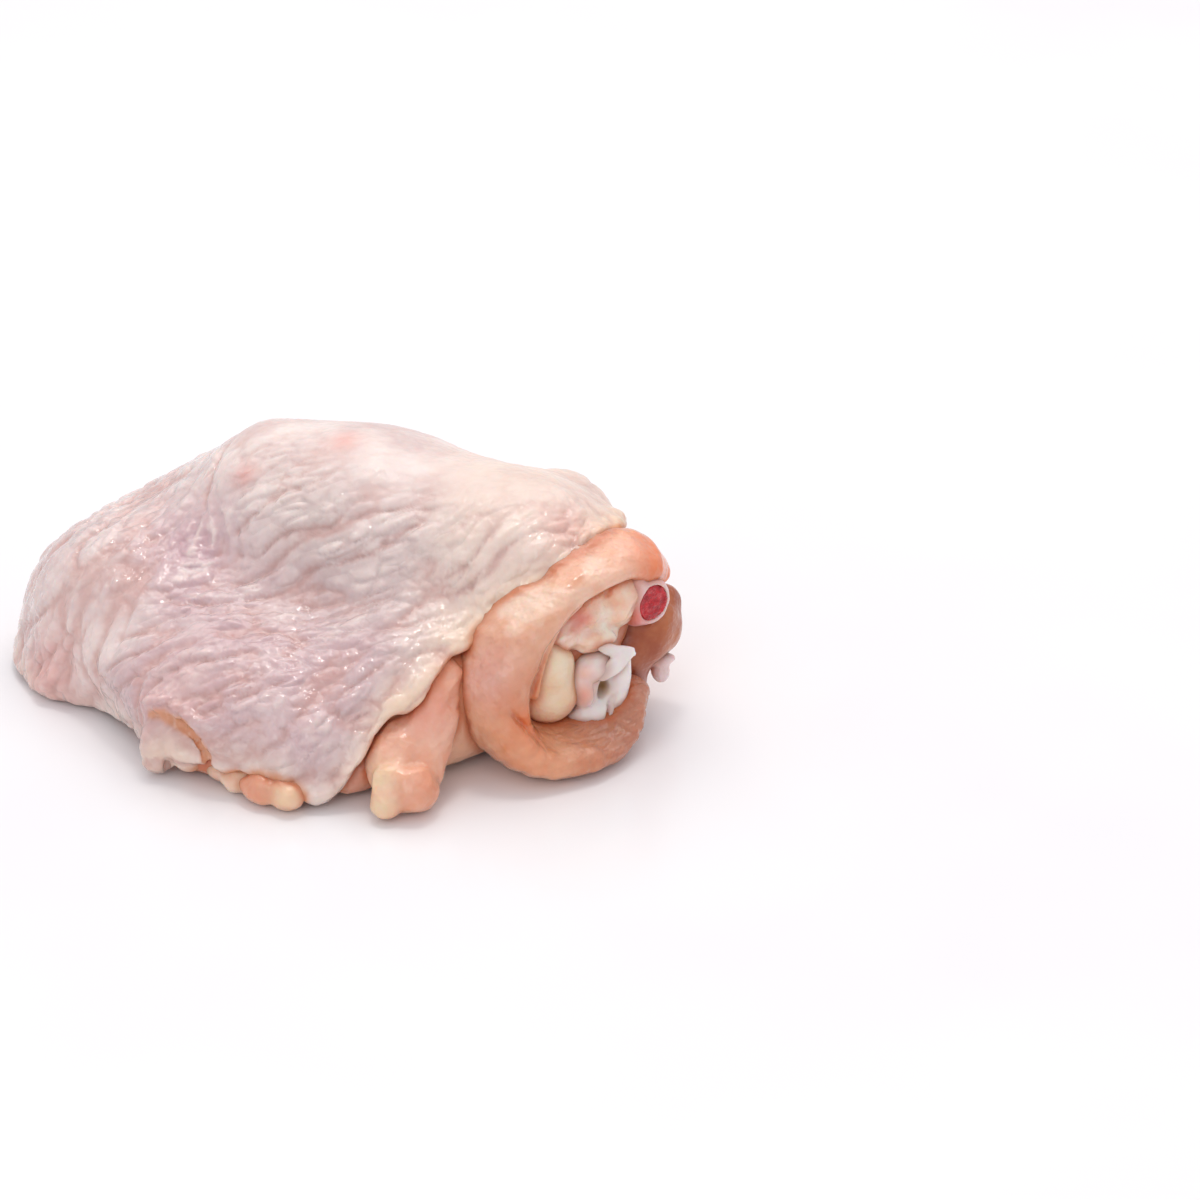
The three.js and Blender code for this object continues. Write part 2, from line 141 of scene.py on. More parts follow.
class Noise:
    """Repeatable noise worked out from whole-number lattice cells."""

    CORNERS = np.array([[i, j, k] for i in (0, 1) for j in (0, 1) for k in (0, 1)])
    NEIGHBOURS = np.array([[i, j, k] for i in (-1, 0, 1) for j in (-1, 0, 1) for k in (-1, 0, 1)])

    @staticmethod
    def hashed(cells: Array, seed: int) -> Array:
        """Turns lattice cells into numbers that look random.

        Args:
            cells: Whole-number cells, one a row.
            seed: Changes the numbers.

        Returns:
            A number from 0 to 1 for each cell.
        """
        whole = cells.astype(np.int64)
        mixed = whole[:, 0] * 73856093 ^ whole[:, 1] * 19349663 ^ whole[:, 2] * 83492791
        mixed = (mixed ^ (seed * 2654435761)) & 0xFFFFFFFF
        for shift, factor in ((16, 0x45D9F3B), (15, 0x2C1B3C6D), (16, 0x297A2D39)):
            mixed = ((mixed ^ (mixed >> shift)) * factor) & 0xFFFFFFFF
        return mixed / 4294967295.0

    @classmethod
    def soft(cls, points: Array, scale: float, seed: int) -> Array:
        """Smooth noise.

        Args:
            points: Points in millimetres, one a row.
            scale: Size of the swells, in millimetres.
            seed: Changes the pattern.

        Returns:
            Values from about -1 to 1.
        """
        placed = points / scale
        cell = np.floor(placed)
        part = placed - cell
        ease = part * part * part * (part * (part * 6 - 15) + 10)
        total = np.zeros(len(points))
        for corner in cls.CORNERS:
            lattice = cell + corner
            offset = part - corner
            slopes = [cls.hashed(lattice, seed + axis) * 2 - 1 for axis in range(3)]
            value = sum(slope * offset[:, axis] for axis, slope in enumerate(slopes))
            weight = np.prod(np.where(corner == 1, ease, 1 - ease), axis=1)
            total += value * weight
        return total * 1.6

    @classmethod
    def cells(cls, points: Array, seed: int) -> tuple[Array, Array, Array]:
        """Looks for the nearest two of the points scattered one to a unit cell.

        Args:
            points: Points already divided by the cell size.
            seed: Changes the pattern.

        Returns:
            The nearest and the second nearest distance, in cells, and where each point lies from the nearest.
        """
        cell = np.floor(points)
        part = points - cell
        nearest = np.full(len(points), 9.0)
        second = np.full(len(points), 9.0)
        offset = np.zeros_like(points)
        for neighbour in cls.NEIGHBOURS:
            lattice = cell + neighbour
            jitter = np.stack([cls.hashed(lattice, seed + axis) for axis in range(3)], axis=1)
            way = part - (neighbour + 0.1 + 0.8 * jitter)
            away = np.linalg.norm(way, axis=1)
            closer = away < nearest
            second = np.where(closer, nearest, np.minimum(second, away))
            nearest = np.where(closer, away, nearest)
            offset = np.where(closer[:, None], way, offset)
        return nearest, second, offset


@dataclass(frozen=True)
class Grain:
    """Long pebbles or folds lying side by side in one direction.

    Attributes:
        along: The direction that they lie in.
        length: Usual length, in millimetres.
        width: Usual width, in millimetres.
        seed: Changes the pattern.
        wander: How far the direction strays, in widths.
        fall: The way that the pebbles lean, each over the next one.
    """

    along: tuple[float, float, float]
    length: float
    width: float
    seed: int
    wander: float = 0.55
    fall: tuple[float, float, float] = (0.15, -0.7, -0.65)

    def placed(self, points: Array) -> Array:
        """Squeezes points along the grain, so that round noise comes out long.

        Args:
            points: Points in millimetres, one a row.

        Returns:
            The points in units of the grain's width.
        """
        way = np.asarray(self.along) / np.linalg.norm(self.along)
        squeeze = 1 - self.width / self.length
        flat = (points - squeeze * (points @ way)[:, None] * way) / self.width
        stray = [Noise.soft(points, self.width * 3.2, self.seed + 40 + axis) for axis in range(3)]
        return flat + self.wander * np.stack(stray, axis=1)

    def pebbles(self, points: Array) -> Array:
        """Rounded pebbles with narrow creases between them.

        Args:
            points: Points in millimetres, one a row.

        Returns:
            Height from 0 in a crease to 1 on a pebble.
        """
        nearest, second, offset = Noise.cells(self.placed(points), self.seed)
        merged = 0.45 * np.maximum(Noise.soft(points, self.width * 1.7, self.seed + 60), 0)
        shoulder = 1 - (1 - np.clip((second - nearest + merged) / 0.75, 0, 1)) ** 2
        shingle = np.clip(0.5 + 0.6 * (offset @ np.asarray(self.fall)), 0, 1)
        return shoulder * (0.55 + 0.45 * shingle)

    def ripples(self, points: Array) -> Array:
        """Soft ridges and furrows.

        Args:
            points: Points in millimetres, one a row.

        Returns:
            Height from 0 in a furrow to 1 on a ridge.
        """
        flat = self.placed(points)
        first = 1 - np.abs(Noise.soft(flat, 1.5, self.seed + 7))
        finer = 1 - np.abs(Noise.soft(flat, 0.75, self.seed + 17))
        return np.clip(0.7 * first ** 2 + 0.3 * finer ** 2, 0, 1)

    def folds(self, points: Array) -> Array:
        """Long rounded folds with sharp creases between them.

        Args:
            points: Points in millimetres, one a row.

        Returns:
            Height from 0 in a crease to 1 on a fold.
        """
        swell = np.abs(Noise.soft(self.placed(points), 1.6, self.seed + 27))
        return np.clip(2.6 * swell, 0, 1) ** 0.75


# ---------------------------------------------------------------- forms

def turned(degrees: Sequence[float]) -> Array:
    """A rotation about X, then Y, then Z.

    Args:
        degrees: The three angles.

    Returns:
        The 3 by 3 matrix that turns a column vector.
    """
    cx, cy, cz = (math.cos(math.radians(angle)) for angle in degrees)
    sx, sy, sz = (math.sin(math.radians(angle)) for angle in degrees)
    about_x = np.array([[1, 0, 0], [0, cx, -sx], [0, sx, cx]])
    about_y = np.array([[cy, 0, sy], [0, 1, 0], [-sy, 0, cy]])
    about_z = np.array([[cz, -sz, 0], [sz, cz, 0], [0, 0, 1]])
    return about_z @ about_y @ about_x


@dataclass(frozen=True)
class Blob:
    """An ellipsoid.

    Attributes:
        centre: Its middle, in millimetres.
        radii: Its three half sizes.
        turn: Angles about X, Y and Z, in degrees.
    """

    centre: tuple[float, float, float]
    radii: tuple[float, float, float]
    turn: tuple[float, float, float] = (0.0, 0.0, 0.0)

    def distance(self, points: Array) -> Array:
        """About how far each point is outside the ellipsoid.

        Args:
            points: Points in millimetres, one a row.

        Returns:
            Distances in millimetres, negative inside.
        """
        local = (points - np.asarray(self.centre)) @ turned(self.turn)
        radii = np.asarray(self.radii)
        reach = np.linalg.norm(local / radii, axis=1)
        steepness = np.linalg.norm(local / radii ** 2, axis=1)
        return reach * (reach - 1) / np.maximum(steepness, 1e-6)


@dataclass(frozen=True)
class Roll:
    """A bent roll of flesh with an oval section.

    Attributes:
        stations: Places along it, each x, y, z, half height and half width in millimetres.
        wide_along: The direction in which its width lies.
        pieces: Straight pieces between two stations.
    """

    stations: tuple[tuple[float, float, float, float, float], ...]
    wide_along: tuple[float, float, float]
    pieces: int = 3

    def path(self) -> Array:
        """The stations joined by a smooth curve.

        Returns:
            Rows of x, y, z, half height and half width.
        """
        rows = np.asarray(self.stations)
        padded = np.vstack([2 * rows[0] - rows[1], rows, 2 * rows[-1] - rows[-2]])
        smooth = []
        for i in range(1, len(padded) - 2):
            before, start, end, after = padded[i - 1:i + 3]
            for t in np.arange(self.pieces) / self.pieces:
                smooth.append(0.5 * (2 * start + (end - before) * t
                                     + (2 * before - 5 * start + 4 * end - after) * t ** 2
                                     + (3 * start - before - 3 * end + after) * t ** 3))
        return np.vstack([*smooth, rows[-1]])

    def nearest(self, points: Array) -> tuple[Array, Array]:
        """The distance to the roll and how far along it each point lies.

        Args:
            points: Points in millimetres, one a row.

        Returns:
            Distances in millimetres, and millimetres along the roll.
        """
        path = self.path()
        best = np.full(len(points), 1e9)
        run = np.zeros(len(points))
        travelled = 0.0
        for start, end in zip(path[:-1], path[1:]):
            axis = end[:3] - start[:3]
            length = np.linalg.norm(axis)
            tangent = axis / length
            wide = np.asarray(self.wide_along) - tangent * np.dot(self.wide_along, tangent)
            wide /= np.linalg.norm(wide)
            high = np.cross(tangent, wide)
            t = np.clip((points - start[:3]) @ tangent / length, 0, 1)
            half = start[3:] + t[:, None] * (end - start)[3:]
            offset = points - start[:3] - t[:, None] * axis
            scale = np.stack([half[:, 0], half[:, 1], half.min(axis=1)], axis=1)
            local = np.stack([offset @ high, offset @ wide, offset @ tangent], axis=1)
            reach = np.linalg.norm(local / scale, axis=1)
            steepness = np.linalg.norm(local / scale ** 2, axis=1)
            away = reach * (reach - 1) / np.maximum(steepness, 1e-6)
            closer = away < best
            run = np.where(closer, travelled + t * length, run)
            best = np.minimum(best, away)
            travelled += length
        return best, run

    def distance(self, points: Array) -> Array:
        """Distances in millimetres to the roll, negative inside."""
        return self.nearest(points)[0]


def joined(fields: Sequence[Field], softness: float) -> Field:
    """One form out of several, with rounded seams.

    Args:
        fields: The distance function of each form.
        softness: Width of the rounding, in millimetres.

    Returns:
        The distance function of the whole.
    """
    def distance(points: Array) -> Array:
        """Distances in millimetres to the joined form."""
        total = fields[0](points)
        for other in fields[1:]:
            total = smooth_min(total, other(points), softness)
        return total
    return distance


# ---------------------------------------------------------------- meshing

@dataclass
class Surface:
    """A mesh on its way to Blender.

    Attributes:
        points: Vertices in millimetres, one a row.
        quads: Four vertex numbers for each face.
        normals: The outward direction at each vertex.
        masks: Named numbers for each vertex, from 0 to 1, that the finish reads.
    """

    points: Array
    quads: Array
    normals: Array
    masks: dict[str, Array] = field(default_factory=dict)

    def displace(self, height: Array, sag: float = 0.0) -> None:
        """Moves each vertex out along its normal, and down by a share of the height.

        Args:
            height: How far out, in millimetres.
            sag: The share of the height by which it also sinks along the surface.
        """
        down = np.array([0.0, 0.0, -1.0])
        slope = down - self.normals * (self.normals @ down)[:, None]
        self.points = self.points + height[:, None] * (self.normals + sag * slope)

    def lift(self) -> None:
        """Keeps every vertex just above the table."""
        self.points[:, 2] = np.maximum(self.points[:, 2], TABLE_GAP)

    def seam(self, neighbours: Sequence[Field], reach: float = 1.1) -> Array:
        """How near each vertex is to another piece, for the shade painted where pieces touch.

        Args:
            neighbours: The distance functions of the other pieces.
            reach: Distance at which the result has fallen to about a third, in millimetres.

        Returns:
            1 where the pieces touch, falling to 0 away from them.
        """
        nearest = np.full(len(self.points), 9.0)
        for other in neighbours:
            nearest = np.minimum(nearest, other(self.points))
        return np.exp(-((np.maximum(nearest, 0) / reach) ** 2))

    def keep(self, wanted: Array) -> None:
        """Drops every face that has no wanted vertex.

        Args:
            wanted: True for each vertex that is kept.
        """
        self.quads = self.quads[wanted[self.quads].any(axis=1)]
        used, numbers = np.unique(self.quads, return_inverse=True)
        self.quads = numbers.reshape(self.quads.shape)
        self.points = self.points[used]
        self.normals = self.normals[used]
        self.masks = {name: mask[used] for name, mask in self.masks.items()}

    def to_object(self, name: str, node: str, slot: str, material: bpy.types.Material) -> bpy.types.Object:
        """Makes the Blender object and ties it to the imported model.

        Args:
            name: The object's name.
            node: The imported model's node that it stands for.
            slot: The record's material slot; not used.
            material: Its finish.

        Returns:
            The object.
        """
        mesh = bpy.data.meshes.new(name)
        mesh.vertices.add(len(self.points))
        mesh.vertices.foreach_set("co", ((self.points - FRAME_MIDDLE) * MM).astype(np.float32).ravel())
        mesh.loops.add(self.quads.size)
        mesh.loops.foreach_set("vertex_index", self.quads.astype(np.int32).ravel())
        mesh.polygons.add(len(self.quads))
        mesh.polygons.foreach_set("loop_start", np.arange(0, self.quads.size, 4, dtype=np.int32))
        for mask_name, values in self.masks.items():
            layer = mesh.attributes.new(mask_name, "FLOAT", "POINT")
            layer.data.foreach_set("value", np.clip(values, 0, 1).astype(np.float32))
        mesh.update(calc_edges=True)
        mesh.validate()
        mesh.shade_smooth()
        mesh.materials.append(material)
        piece = bpy.data.objects.new(name, mesh)
        bpy.context.scene.collection.objects.link(piece)
        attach(piece, "root")
        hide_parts(node)
        return piece


@dataclass(frozen=True)
class Mesher:
    """Meshes a distance function on a voxel grid.

    Attributes:
        voxel: The grid's step, in millimetres.
        coarse: Steps between two points of the first, coarse look.
        reach: How near the surface a coarse point has to be for its fine points to be worked out.
    """

    voxel: float
    coarse: int = 4
    reach: float = 1.3

    @classmethod
    def of(cls, voxel: float) -> "Mesher":
        """A mesher for that voxel, or a larger one in a trial render."""
        return cls(voxel * COARSER)

    def values(self, distance: Field, low: Array, counts: Array) -> Array:
        """Works out the field where the surface may be, and its sign elsewhere.

        Args:
            distance: The form's distance function.
            low: The grid's lowest corner, in millimetres.
            counts: Number of coarse cells along each axis.

        Returns:
            The field at each fine grid point.
        """
        block = self.voxel * self.coarse
        middles = [low[axis] + block * (np.arange(counts[axis]) + 0.5) - self.voxel / 2 for axis in range(3)]
        look = np.stack(np.meshgrid(*middles, indexing="ij"), axis=-1).reshape(-1, 3)
        far = distance(look).reshape(counts)
        fine = far
        for axis in range(3):
            fine = np.repeat(fine, self.coarse, axis=axis)
        near = np.argwhere(np.abs(fine) < block * self.reach)
        fine[tuple(near.T)] = distance(low + near * self.voxel)
        return fine

    def surface(self, distance: Field, low: Sequence[float], high: Sequence[float]) -> Surface:
        """Meshes the zero level of a distance function.

        Args:
            distance: The form's distance function.
            low: Lowest corner of the space searched, in millimetres.
            high: Highest corner of it.

        Returns:
            The surface, with its normals.
        """
        low = np.asarray(low, dtype=float)
        counts = np.ceil((np.asarray(high) - low) / (self.voxel * self.coarse)).astype(int)
        block = self.voxel * self.coarse
        fine = np.clip(self.values(distance, low, counts), -2 * block, 2 * block)
        grid = openvdb.FloatGrid(2 * block)
        grid.copyFromArray(fine.astype(np.float32))
        points, quads = grid.convertToQuads(isovalue=0.0)
        placed = points * self.voxel + low
        return Surface(placed, quads[:, ::1], self.normals(distance, placed))

    def normals(self, distance: Field, points: Array) -> Array:
        """The outward direction at each point.

        Args:
            distance: The form's distance function.
            points: Points in millimetres, one a row.

        Returns:
            Unit vectors, one a row.
        """
        step = self.voxel * 0.8
        slope = np.stack([distance(points + step * way) - distance(points - step * way)
                          for way in np.eye(3)], axis=1)
        return slope / np.maximum(np.linalg.norm(slope, axis=1), 1e-9)[:, None]


# ---------------------------------------------------------------- finishes

def linear(hex_colour: str) -> tuple[float, float, float, float]:
    """Turns an sRGB hex colour into linear values.

    Args:
        hex_colour: Such as "#dcc8c6".

    Returns:
        Red, green, blue and alpha.
    """
    channels = [int(hex_colour[i:i + 2], 16) / 255 for i in (1, 3, 5)]
    turned_linear = [c / 12.92 if c <= 0.04045 else ((c + 0.055) / 1.055) ** 2.4 for c in channels]
    return (*turned_linear, 1.0)


class Socket(Enum):
    """Numbers of the sockets of a colour Mix node, whose names are not unique."""

    FACTOR = 0
    FIRST = 6
    SECOND = 7
    RESULT = 2


class Shader:
    """A material's node tree, built node by node."""

    def __init__(self, name: str) -> None:
        """Starts an empty tree for a material of that name."""
        self.material = bpy.data.materials.new(name)
        self.material.use_nodes = True
        self.tree = self.material.node_tree
        self.tree.nodes.clear()

    def add(self, kind: str, inputs: dict | None = None, **settings: object) -> bpy.types.Node:
        """Adds a node.

        Args:
            kind: The node's type name.
            inputs: Value or source socket for each input, by name or number.
            **settings: The node's own properties.

        Returns:
            The node.
        """
        node = self.tree.nodes.new(kind)
        for key, value in settings.items():
            setattr(node, key, value)
        for key, value in (inputs or {}).items():
            if isinstance(value, bpy.types.NodeSocket):
                self.tree.links.new(value, node.inputs[key])
            else:
                node.inputs[key].default_value = value
        return node

    def patches(self, size_mm: float, detail: float = 2.0, low: float = 0.35, high: float = 0.65,
                stretch: tuple[float, float, float] = (1, 1, 1)) -> bpy.types.NodeSocket:
        """Soft patches from 0 to 1, fixed to the object.

        Args:
            size_mm: Size of the patches, in millimetres.
            detail: Number of finer layers.
            low: Noise value that becomes 0.
            high: Noise value that becomes 1.
            stretch: Factors that squeeze the pattern along X, Y and Z.

        Returns:
            The socket that carries it.
        """
        place = self.add("ShaderNodeTexCoord").outputs["Object"]
        if stretch != (1, 1, 1):
            place = self.add("ShaderNodeMapping", {"Vector": place, "Scale": stretch}).outputs["Vector"]
        texture = self.add("ShaderNodeTexNoise", {"Vector": place, "Scale": 1 / (size_mm * MM),
                                                  "Detail": detail})
        spread = self.add("ShaderNodeMapRange", {"Value": texture.outputs["Fac"], "From Min": low,
                                                 "From Max": high})
        return spread.outputs["Result"]

    def lumps(self, size_mm: float, along: tuple[float, float, float], length: float) -> bpy.types.NodeSocket:
        """Long round lumps with crisp creases between them, from 0 in a crease to 1 on a lump.

        Args:
            size_mm: Width of a lump, in millimetres.
            along: The direction in which the lumps are long.
            length: How many times as long as wide they are.

        Returns:
            The socket that carries the height.
        """
        place = self.add("ShaderNodeTexCoord").outputs["Object"]
        sway_size, sway_reach = 3.0 * size_mm * MM, 0.9 * size_mm * MM
        sway = self.add("ShaderNodeTexNoise", {"Vector": place, "Scale": 1 / sway_size, "Detail": 0.0})
        sway = self.add("ShaderNodeVectorMath", {0: sway.outputs["Color"], 3: sway_reach}, operation="SCALE")
        place = self.add("ShaderNodeVectorMath", {0: place, 1: sway.outputs[0]}, operation="ADD").outputs[0]
        yaw = math.atan2(along[1], along[0])
        pitch = -math.atan2(along[2], math.hypot(along[0], along[1]))
        turn = {"Vector": place, "Rotation": (0, pitch, yaw), "Scale": (length, 1, 1)}
        place = self.add("ShaderNodeMapping", turn, vector_type="TEXTURE").outputs["Vector"]
        cells = self.add("ShaderNodeTexVoronoi", {"Vector": place, "Scale": 1 / (size_mm * MM)},
                         feature="SMOOTH_F1")
        cells.inputs["Smoothness"].default_value = 0.12
        height = self.add("ShaderNodeMapRange", {"Value": cells.outputs["Distance"], "From Min": 0.2,
                                                 "From Max": 0.95, "To Min": 1.0, "To Max": 0.0},
                          interpolation_type="SMOOTHSTEP")
        return height.outputs["Result"]

    def layered(self, colour: object, layers: Sequence[tuple[object, str, float]]) -> bpy.types.NodeSocket:
        """Lays colours over one another.

        Args:
            colour: The lowest colour, as values or a socket.
            layers: For each further colour, the name of the mask or the socket that says where it lies, its
                hex value and its share there.

        Returns:
            The socket of the finished colour.
        """
        for where, hex_colour, share in layers:
            if isinstance(where, str):
                where = self.add("ShaderNodeAttribute", attribute_name=where).outputs["Fac"]
            if share != 1.0:
                where = self.add("ShaderNodeMath", {0: where, 1: share}, operation="MULTIPLY").outputs[0]
            mixed = self.add("ShaderNodeMix", {Socket.FACTOR.value: where, Socket.FIRST.value: colour,
                                               Socket.SECOND.value: linear(hex_colour)}, data_type="RGBA")
            colour = mixed.outputs[Socket.RESULT.value]
        return colour

    def relief(self, layers: Sequence[tuple[bpy.types.NodeSocket, float]],
               normal: bpy.types.NodeSocket | None = None) -> bpy.types.NodeSocket:
        """Fine reliefs, one on the other, that only bend the light.

        Args:
            layers: The height from 0 to 1, and what 1 stands for in millimetres, of each relief.
            normal: The normal of a coarser relief below them.

        Returns:
            The socket of the bent normal.
        """
        for height, depth_mm in layers:
            inputs = {"Height": height, "Distance": depth_mm * MM, "Strength": 1.0}
            if normal is not None:
                inputs["Normal"] = normal
            normal = self.add("ShaderNodeBump", inputs).outputs["Normal"]
        return normal

    def finish(self, inputs: dict) -> bpy.types.Material:
        """Ends the tree with a Principled shader.

        Args:
            inputs: Value or source socket for each input of that shader.

        Returns:
            The material.
        """
        skin = self.add("ShaderNodeBsdfPrincipled", inputs)
        self.add("ShaderNodeOutputMaterial", {"Surface": skin.outputs["BSDF"]})
        return self.material


@dataclass(frozen=True)
class SkinFinish:
    """Raw chicken skin: scalded and plucked, thin, moist and pale, with fat shining through in places.

    To the eye that is a milky pinkish white with soft light inside it, cooler and lilac over the dark
    muscle, cream over fat, and many small wet glints on its pimples. Its colour also holds painted light:
    lighter on the top towards the knee and on the crests of the wrinkles, darker pink in the creases,
    duller on the front slopes, deeper lilac low on the front and in the valley by the hip, and warmer
    and darker where other pieces touch it.
    """

    base: str = "#dcc4bf"
    # Lighter patches at random, and also the painted light on the skin's top and the painted highlight on its
    # crests.
    light: str = "#f0e0d9"
    # Painted shade on the front slopes.
    front_shade_grey: str = "#c8b5af"
    # Lilac over the dark muscle, laid deeper as painted shade low on the front and in the valley by the hip.
    lilac: str = "#cba7ac"
    cream: str = "#f3d5b8"
    blush: str = "#e5968a"
    # Painted shade in the creases of the wrinkles.
    crease: str = "#cc9a90"
    # Painted shade where other pieces touch the skin and along the groove above its flap.
    seam: str = "#db9468"
    lump_mm: float = 2.9  # the width of a pimple's pebble
    lump_depth_mm: float = 0.6
    lump_length: float = 2.1  # in widths
    lump_ways: tuple[tuple[float, float, float], ...] = ((0.72, 0.5, 0.45), (0.1, 0.84, 0.5))
    pimple_mm: float = 1.6
    pimple_depth_mm: float = 0.05
    glint_mm: float = 1.3
    glint_depth_mm: float = 0.14

    def build(self) -> bpy.types.Material:
        """Makes the material."""
        shader = Shader("raw_skin")
        speckle = shader.patches(1.4, 1, 0.5, 0.75)
        # The masks lay the skin's own colours and painted light together: painted light on the top, painted
        # highlight on the crests, painted shade on the front slopes, in the creases, in the valley and where
        # other pieces touch; the random patches and speckles are its own tone.
        colour = shader.layered(linear(self.base), (
            (shader.patches(9, 3), self.light, 1.0), ("pale", self.light, 1.0), ("front_shade_grey", self.front_shade_grey, 1.0),
            ("lilac", self.lilac, 1.0), ("crest", self.light, 1.0), ("cream", self.cream, 1.0),
            ("blush", self.blush, 1.0), ("crease", self.crease, 1.0), ("seam", self.seam, 1.0),
            (speckle, self.light, 0.2),
        ))
        turned_share, lumpy, wet = (shader.add("ShaderNodeAttribute", attribute_name=name).outputs["Fac"]
                                    for name in ("turned", "lumpy", "wet"))
        ahead, aside = (shader.lumps(self.lump_mm, way, self.lump_length) for way in self.lump_ways)
        either = shader.add("ShaderNodeMix", {0: turned_share, 2: ahead, 3: aside}).outputs[0]
        lumps = shader.add("ShaderNodeMath", {0: either, 1: lumpy}, operation="MULTIPLY").outputs[0]
        normal = shader.relief(((lumps, self.lump_depth_mm),
                                (shader.patches(self.pimple_mm, 0), self.pimple_depth_mm)))
        film = shader.relief(((shader.patches(self.glint_mm, 0), self.glint_depth_mm),), normal)
        roughness = shader.add("ShaderNodeMapRange", {"Value": shader.patches(3, 2), "To Min": 0.32,
                                                      "To Max": 0.48})
        return shader.finish({
            "Base Color": colour, "Roughness": roughness.outputs["Result"], "Normal": normal, "IOR": 1.4,
            "Subsurface Weight": 0.35, "Subsurface Radius": (1.0, 0.5, 0.35), "Subsurface Scale": 1.0 * MM,
            "Coat Weight": wet, "Coat Roughness": 0.06, "Coat IOR": 1.45, "Coat Normal": film,
        })


@dataclass(frozen=True)
class FleshFinish:
    """Raw meat, fat or cartilage, cut and moist: light goes into it and comes back coloured.

    Attributes:
        name: The material's name.
        base: Its usual colour.
        second: The colour of its patches.
        layers: Mask name, colour and share of what its mesh's masks bring out, such as a blush, a membrane,
            painted light shining through or painted shade.
        seam: The painted shade where another piece touches it: a darker, warmer colour for the light caught
            between the two.
        patch_mm: Size of the patches.
        crinkle_mm: Size of the creases in its membrane.
        crinkle_depth_mm: Depth of those creases.
        grain_mm: Size of its finest relief.
        grain_depth_mm: Depth of that relief.
        roughness: Roughness of the flesh itself.
        wet: Weight of the water film.
        inside: How far light wanders in it, in millimetres.
        stretch: Factors that squeeze its grain along X, Y and Z.
    """

    name: str
    base: str
    second: str
    layers: tuple[tuple[str, str, float], ...]
    # Painted shade where other pieces touch.
    seam: str = "#cf6f42"
    patch_mm: float = 5.0
    crinkle_mm: float = 2.6
    crinkle_depth_mm: float = 0.22
    grain_mm: float = 0.7
    grain_depth_mm: float = 0.05
    roughness: float = 0.35
    wet: float = 0.5
    inside: float = 2.0
    stretch: tuple[float, float, float] = (1, 1, 1)

    def build(self) -> bpy.types.Material:
        """Makes the material."""
        shader = Shader(self.name)
        # Base colour, random patches, the mesh's masks (some of them painted light) and painted shade where
        # other pieces touch.
        colour = shader.layered(linear(self.base), (
            (shader.patches(self.patch_mm, 3), self.second, 1.0), *self.layers, ("seam", self.seam, 0.8)))
        crinkles = shader.patches(self.crinkle_mm, 2, 0.3, 0.7)
        grain = shader.patches(self.grain_mm, 1, stretch=self.stretch)
        normal = shader.relief(((crinkles, self.crinkle_depth_mm), (grain, self.grain_depth_mm)))
        return shader.finish({
            "Base Color": colour, "Roughness": self.roughness, "Normal": normal, "IOR": 1.4,
            "Subsurface Weight": 0.6, "Subsurface Radius": (1.0, 0.45, 0.25),
            "Subsurface Scale": self.inside * MM,
            "Coat Weight": self.wet, "Coat Roughness": 0.1, "Coat IOR": 1.34,
        })


# ---------------------------------------------------------------- the body under the skin

@dataclass(frozen=True)
class Body:
    """The muscles' outline as lobes that run into each other, and the line where the skin on them ends."""

    lobes: tuple[Blob, ...] = (
        Blob((-9.5, 20, 16), (36.5, 27, 28), (0, 0, 10)),
        Blob((-30, 17, 21.5), (12, 14, 19.5)),
        Blob((-42, -3, 8.5), (25, 24, 19.5), (0, 0, 15)),
        Blob((-37, 17, 13.5), (25, 22, 18.5)),
        Blob((-10, -12.5, 5.5), (38, 26.5, 17), (0, 0, -4)),
        Blob((-44, -15.5, 0), (19, 13.5, 7), (0, 0, 12)),
        Blob((20, 23, 20), (26, 22, 22.5), (0, 0, 10)),
        Blob((17, 0, 9), (19, 20, 17), (0, 0, 25)),
        Blob((21, 41, 27), (7, 5, 8.5)),
        Blob((27, 19, 10), (15, 20, 12)),
        Blob((9, -20, 0), (15, 15, 7)),
    )
    hollow: Blob = Blob((-28.5, -41.5, 0), (16, 10, 14), (0, 0, -20))
    hollow_blend: float = 5.0
    blend: float = 8.0
    floor_rounding: float = 2.7
    heart: tuple[float, float, float] = (-4.5, 11.0, 11.0)
    edge: tuple[tuple[float, float], ...] = (
        (-148, 99), (-132, 102), (-102, 101), (-93, 98.5), (-80, 97), (-70, 97.5), (-61, 101.5), (-43, 86),
        (-25, 75), (-2, 67), (15, 64), (31, 66), (50, 76), (65, 92), (80, 106), (170, 108), (212, 99),
    )

    def distance(self, points: Array) -> Array:
        """How far each point is outside the muscles' outline.

        Args:
            points: Points in millimetres, one a row.

        Returns:
            Distances in millimetres, negative inside.
        """
        form = joined([lobe.distance for lobe in self.lobes], self.blend)(points)
        form = smooth_max(form, -self.hollow.distance(points), self.hollow_blend)
        return smooth_max(form, -points[:, 2], self.floor_rounding)

    def beyond_edge(self, points: Array) -> Array:
        """How far each point lies beyond the skin's edge, along the surface.

        Args:
            points: Points in millimetres, one a row.

        Returns:
            Distances in millimetres, negative where there is skin.
        """
        ray = points - np.asarray(self.heart)
        length = np.linalg.norm(ray, axis=1)
        azimuth = (np.degrees(np.arctan2(ray[:, 1], ray[:, 0])) + 148) % 360 - 148
        zenith = np.degrees(np.arccos(np.clip(ray[:, 2] / np.maximum(length, 1e-6), -1, 1)))
        places, angles = np.asarray(self.edge, dtype=float).T
        after = np.clip(np.searchsorted(places, azimuth, side="right"), 1, len(places) - 1)
        span = places[after] - places[after - 1]
        share = smoothstep((azimuth - places[after - 1]) / span, 0.0, 1.0)
        limit = angles[after - 1] + share * (angles[after] - angles[after - 1])
        return np.radians(zenith - limit) * length


FOLD_ACROSS = (0.82, 0.57, 0.0)


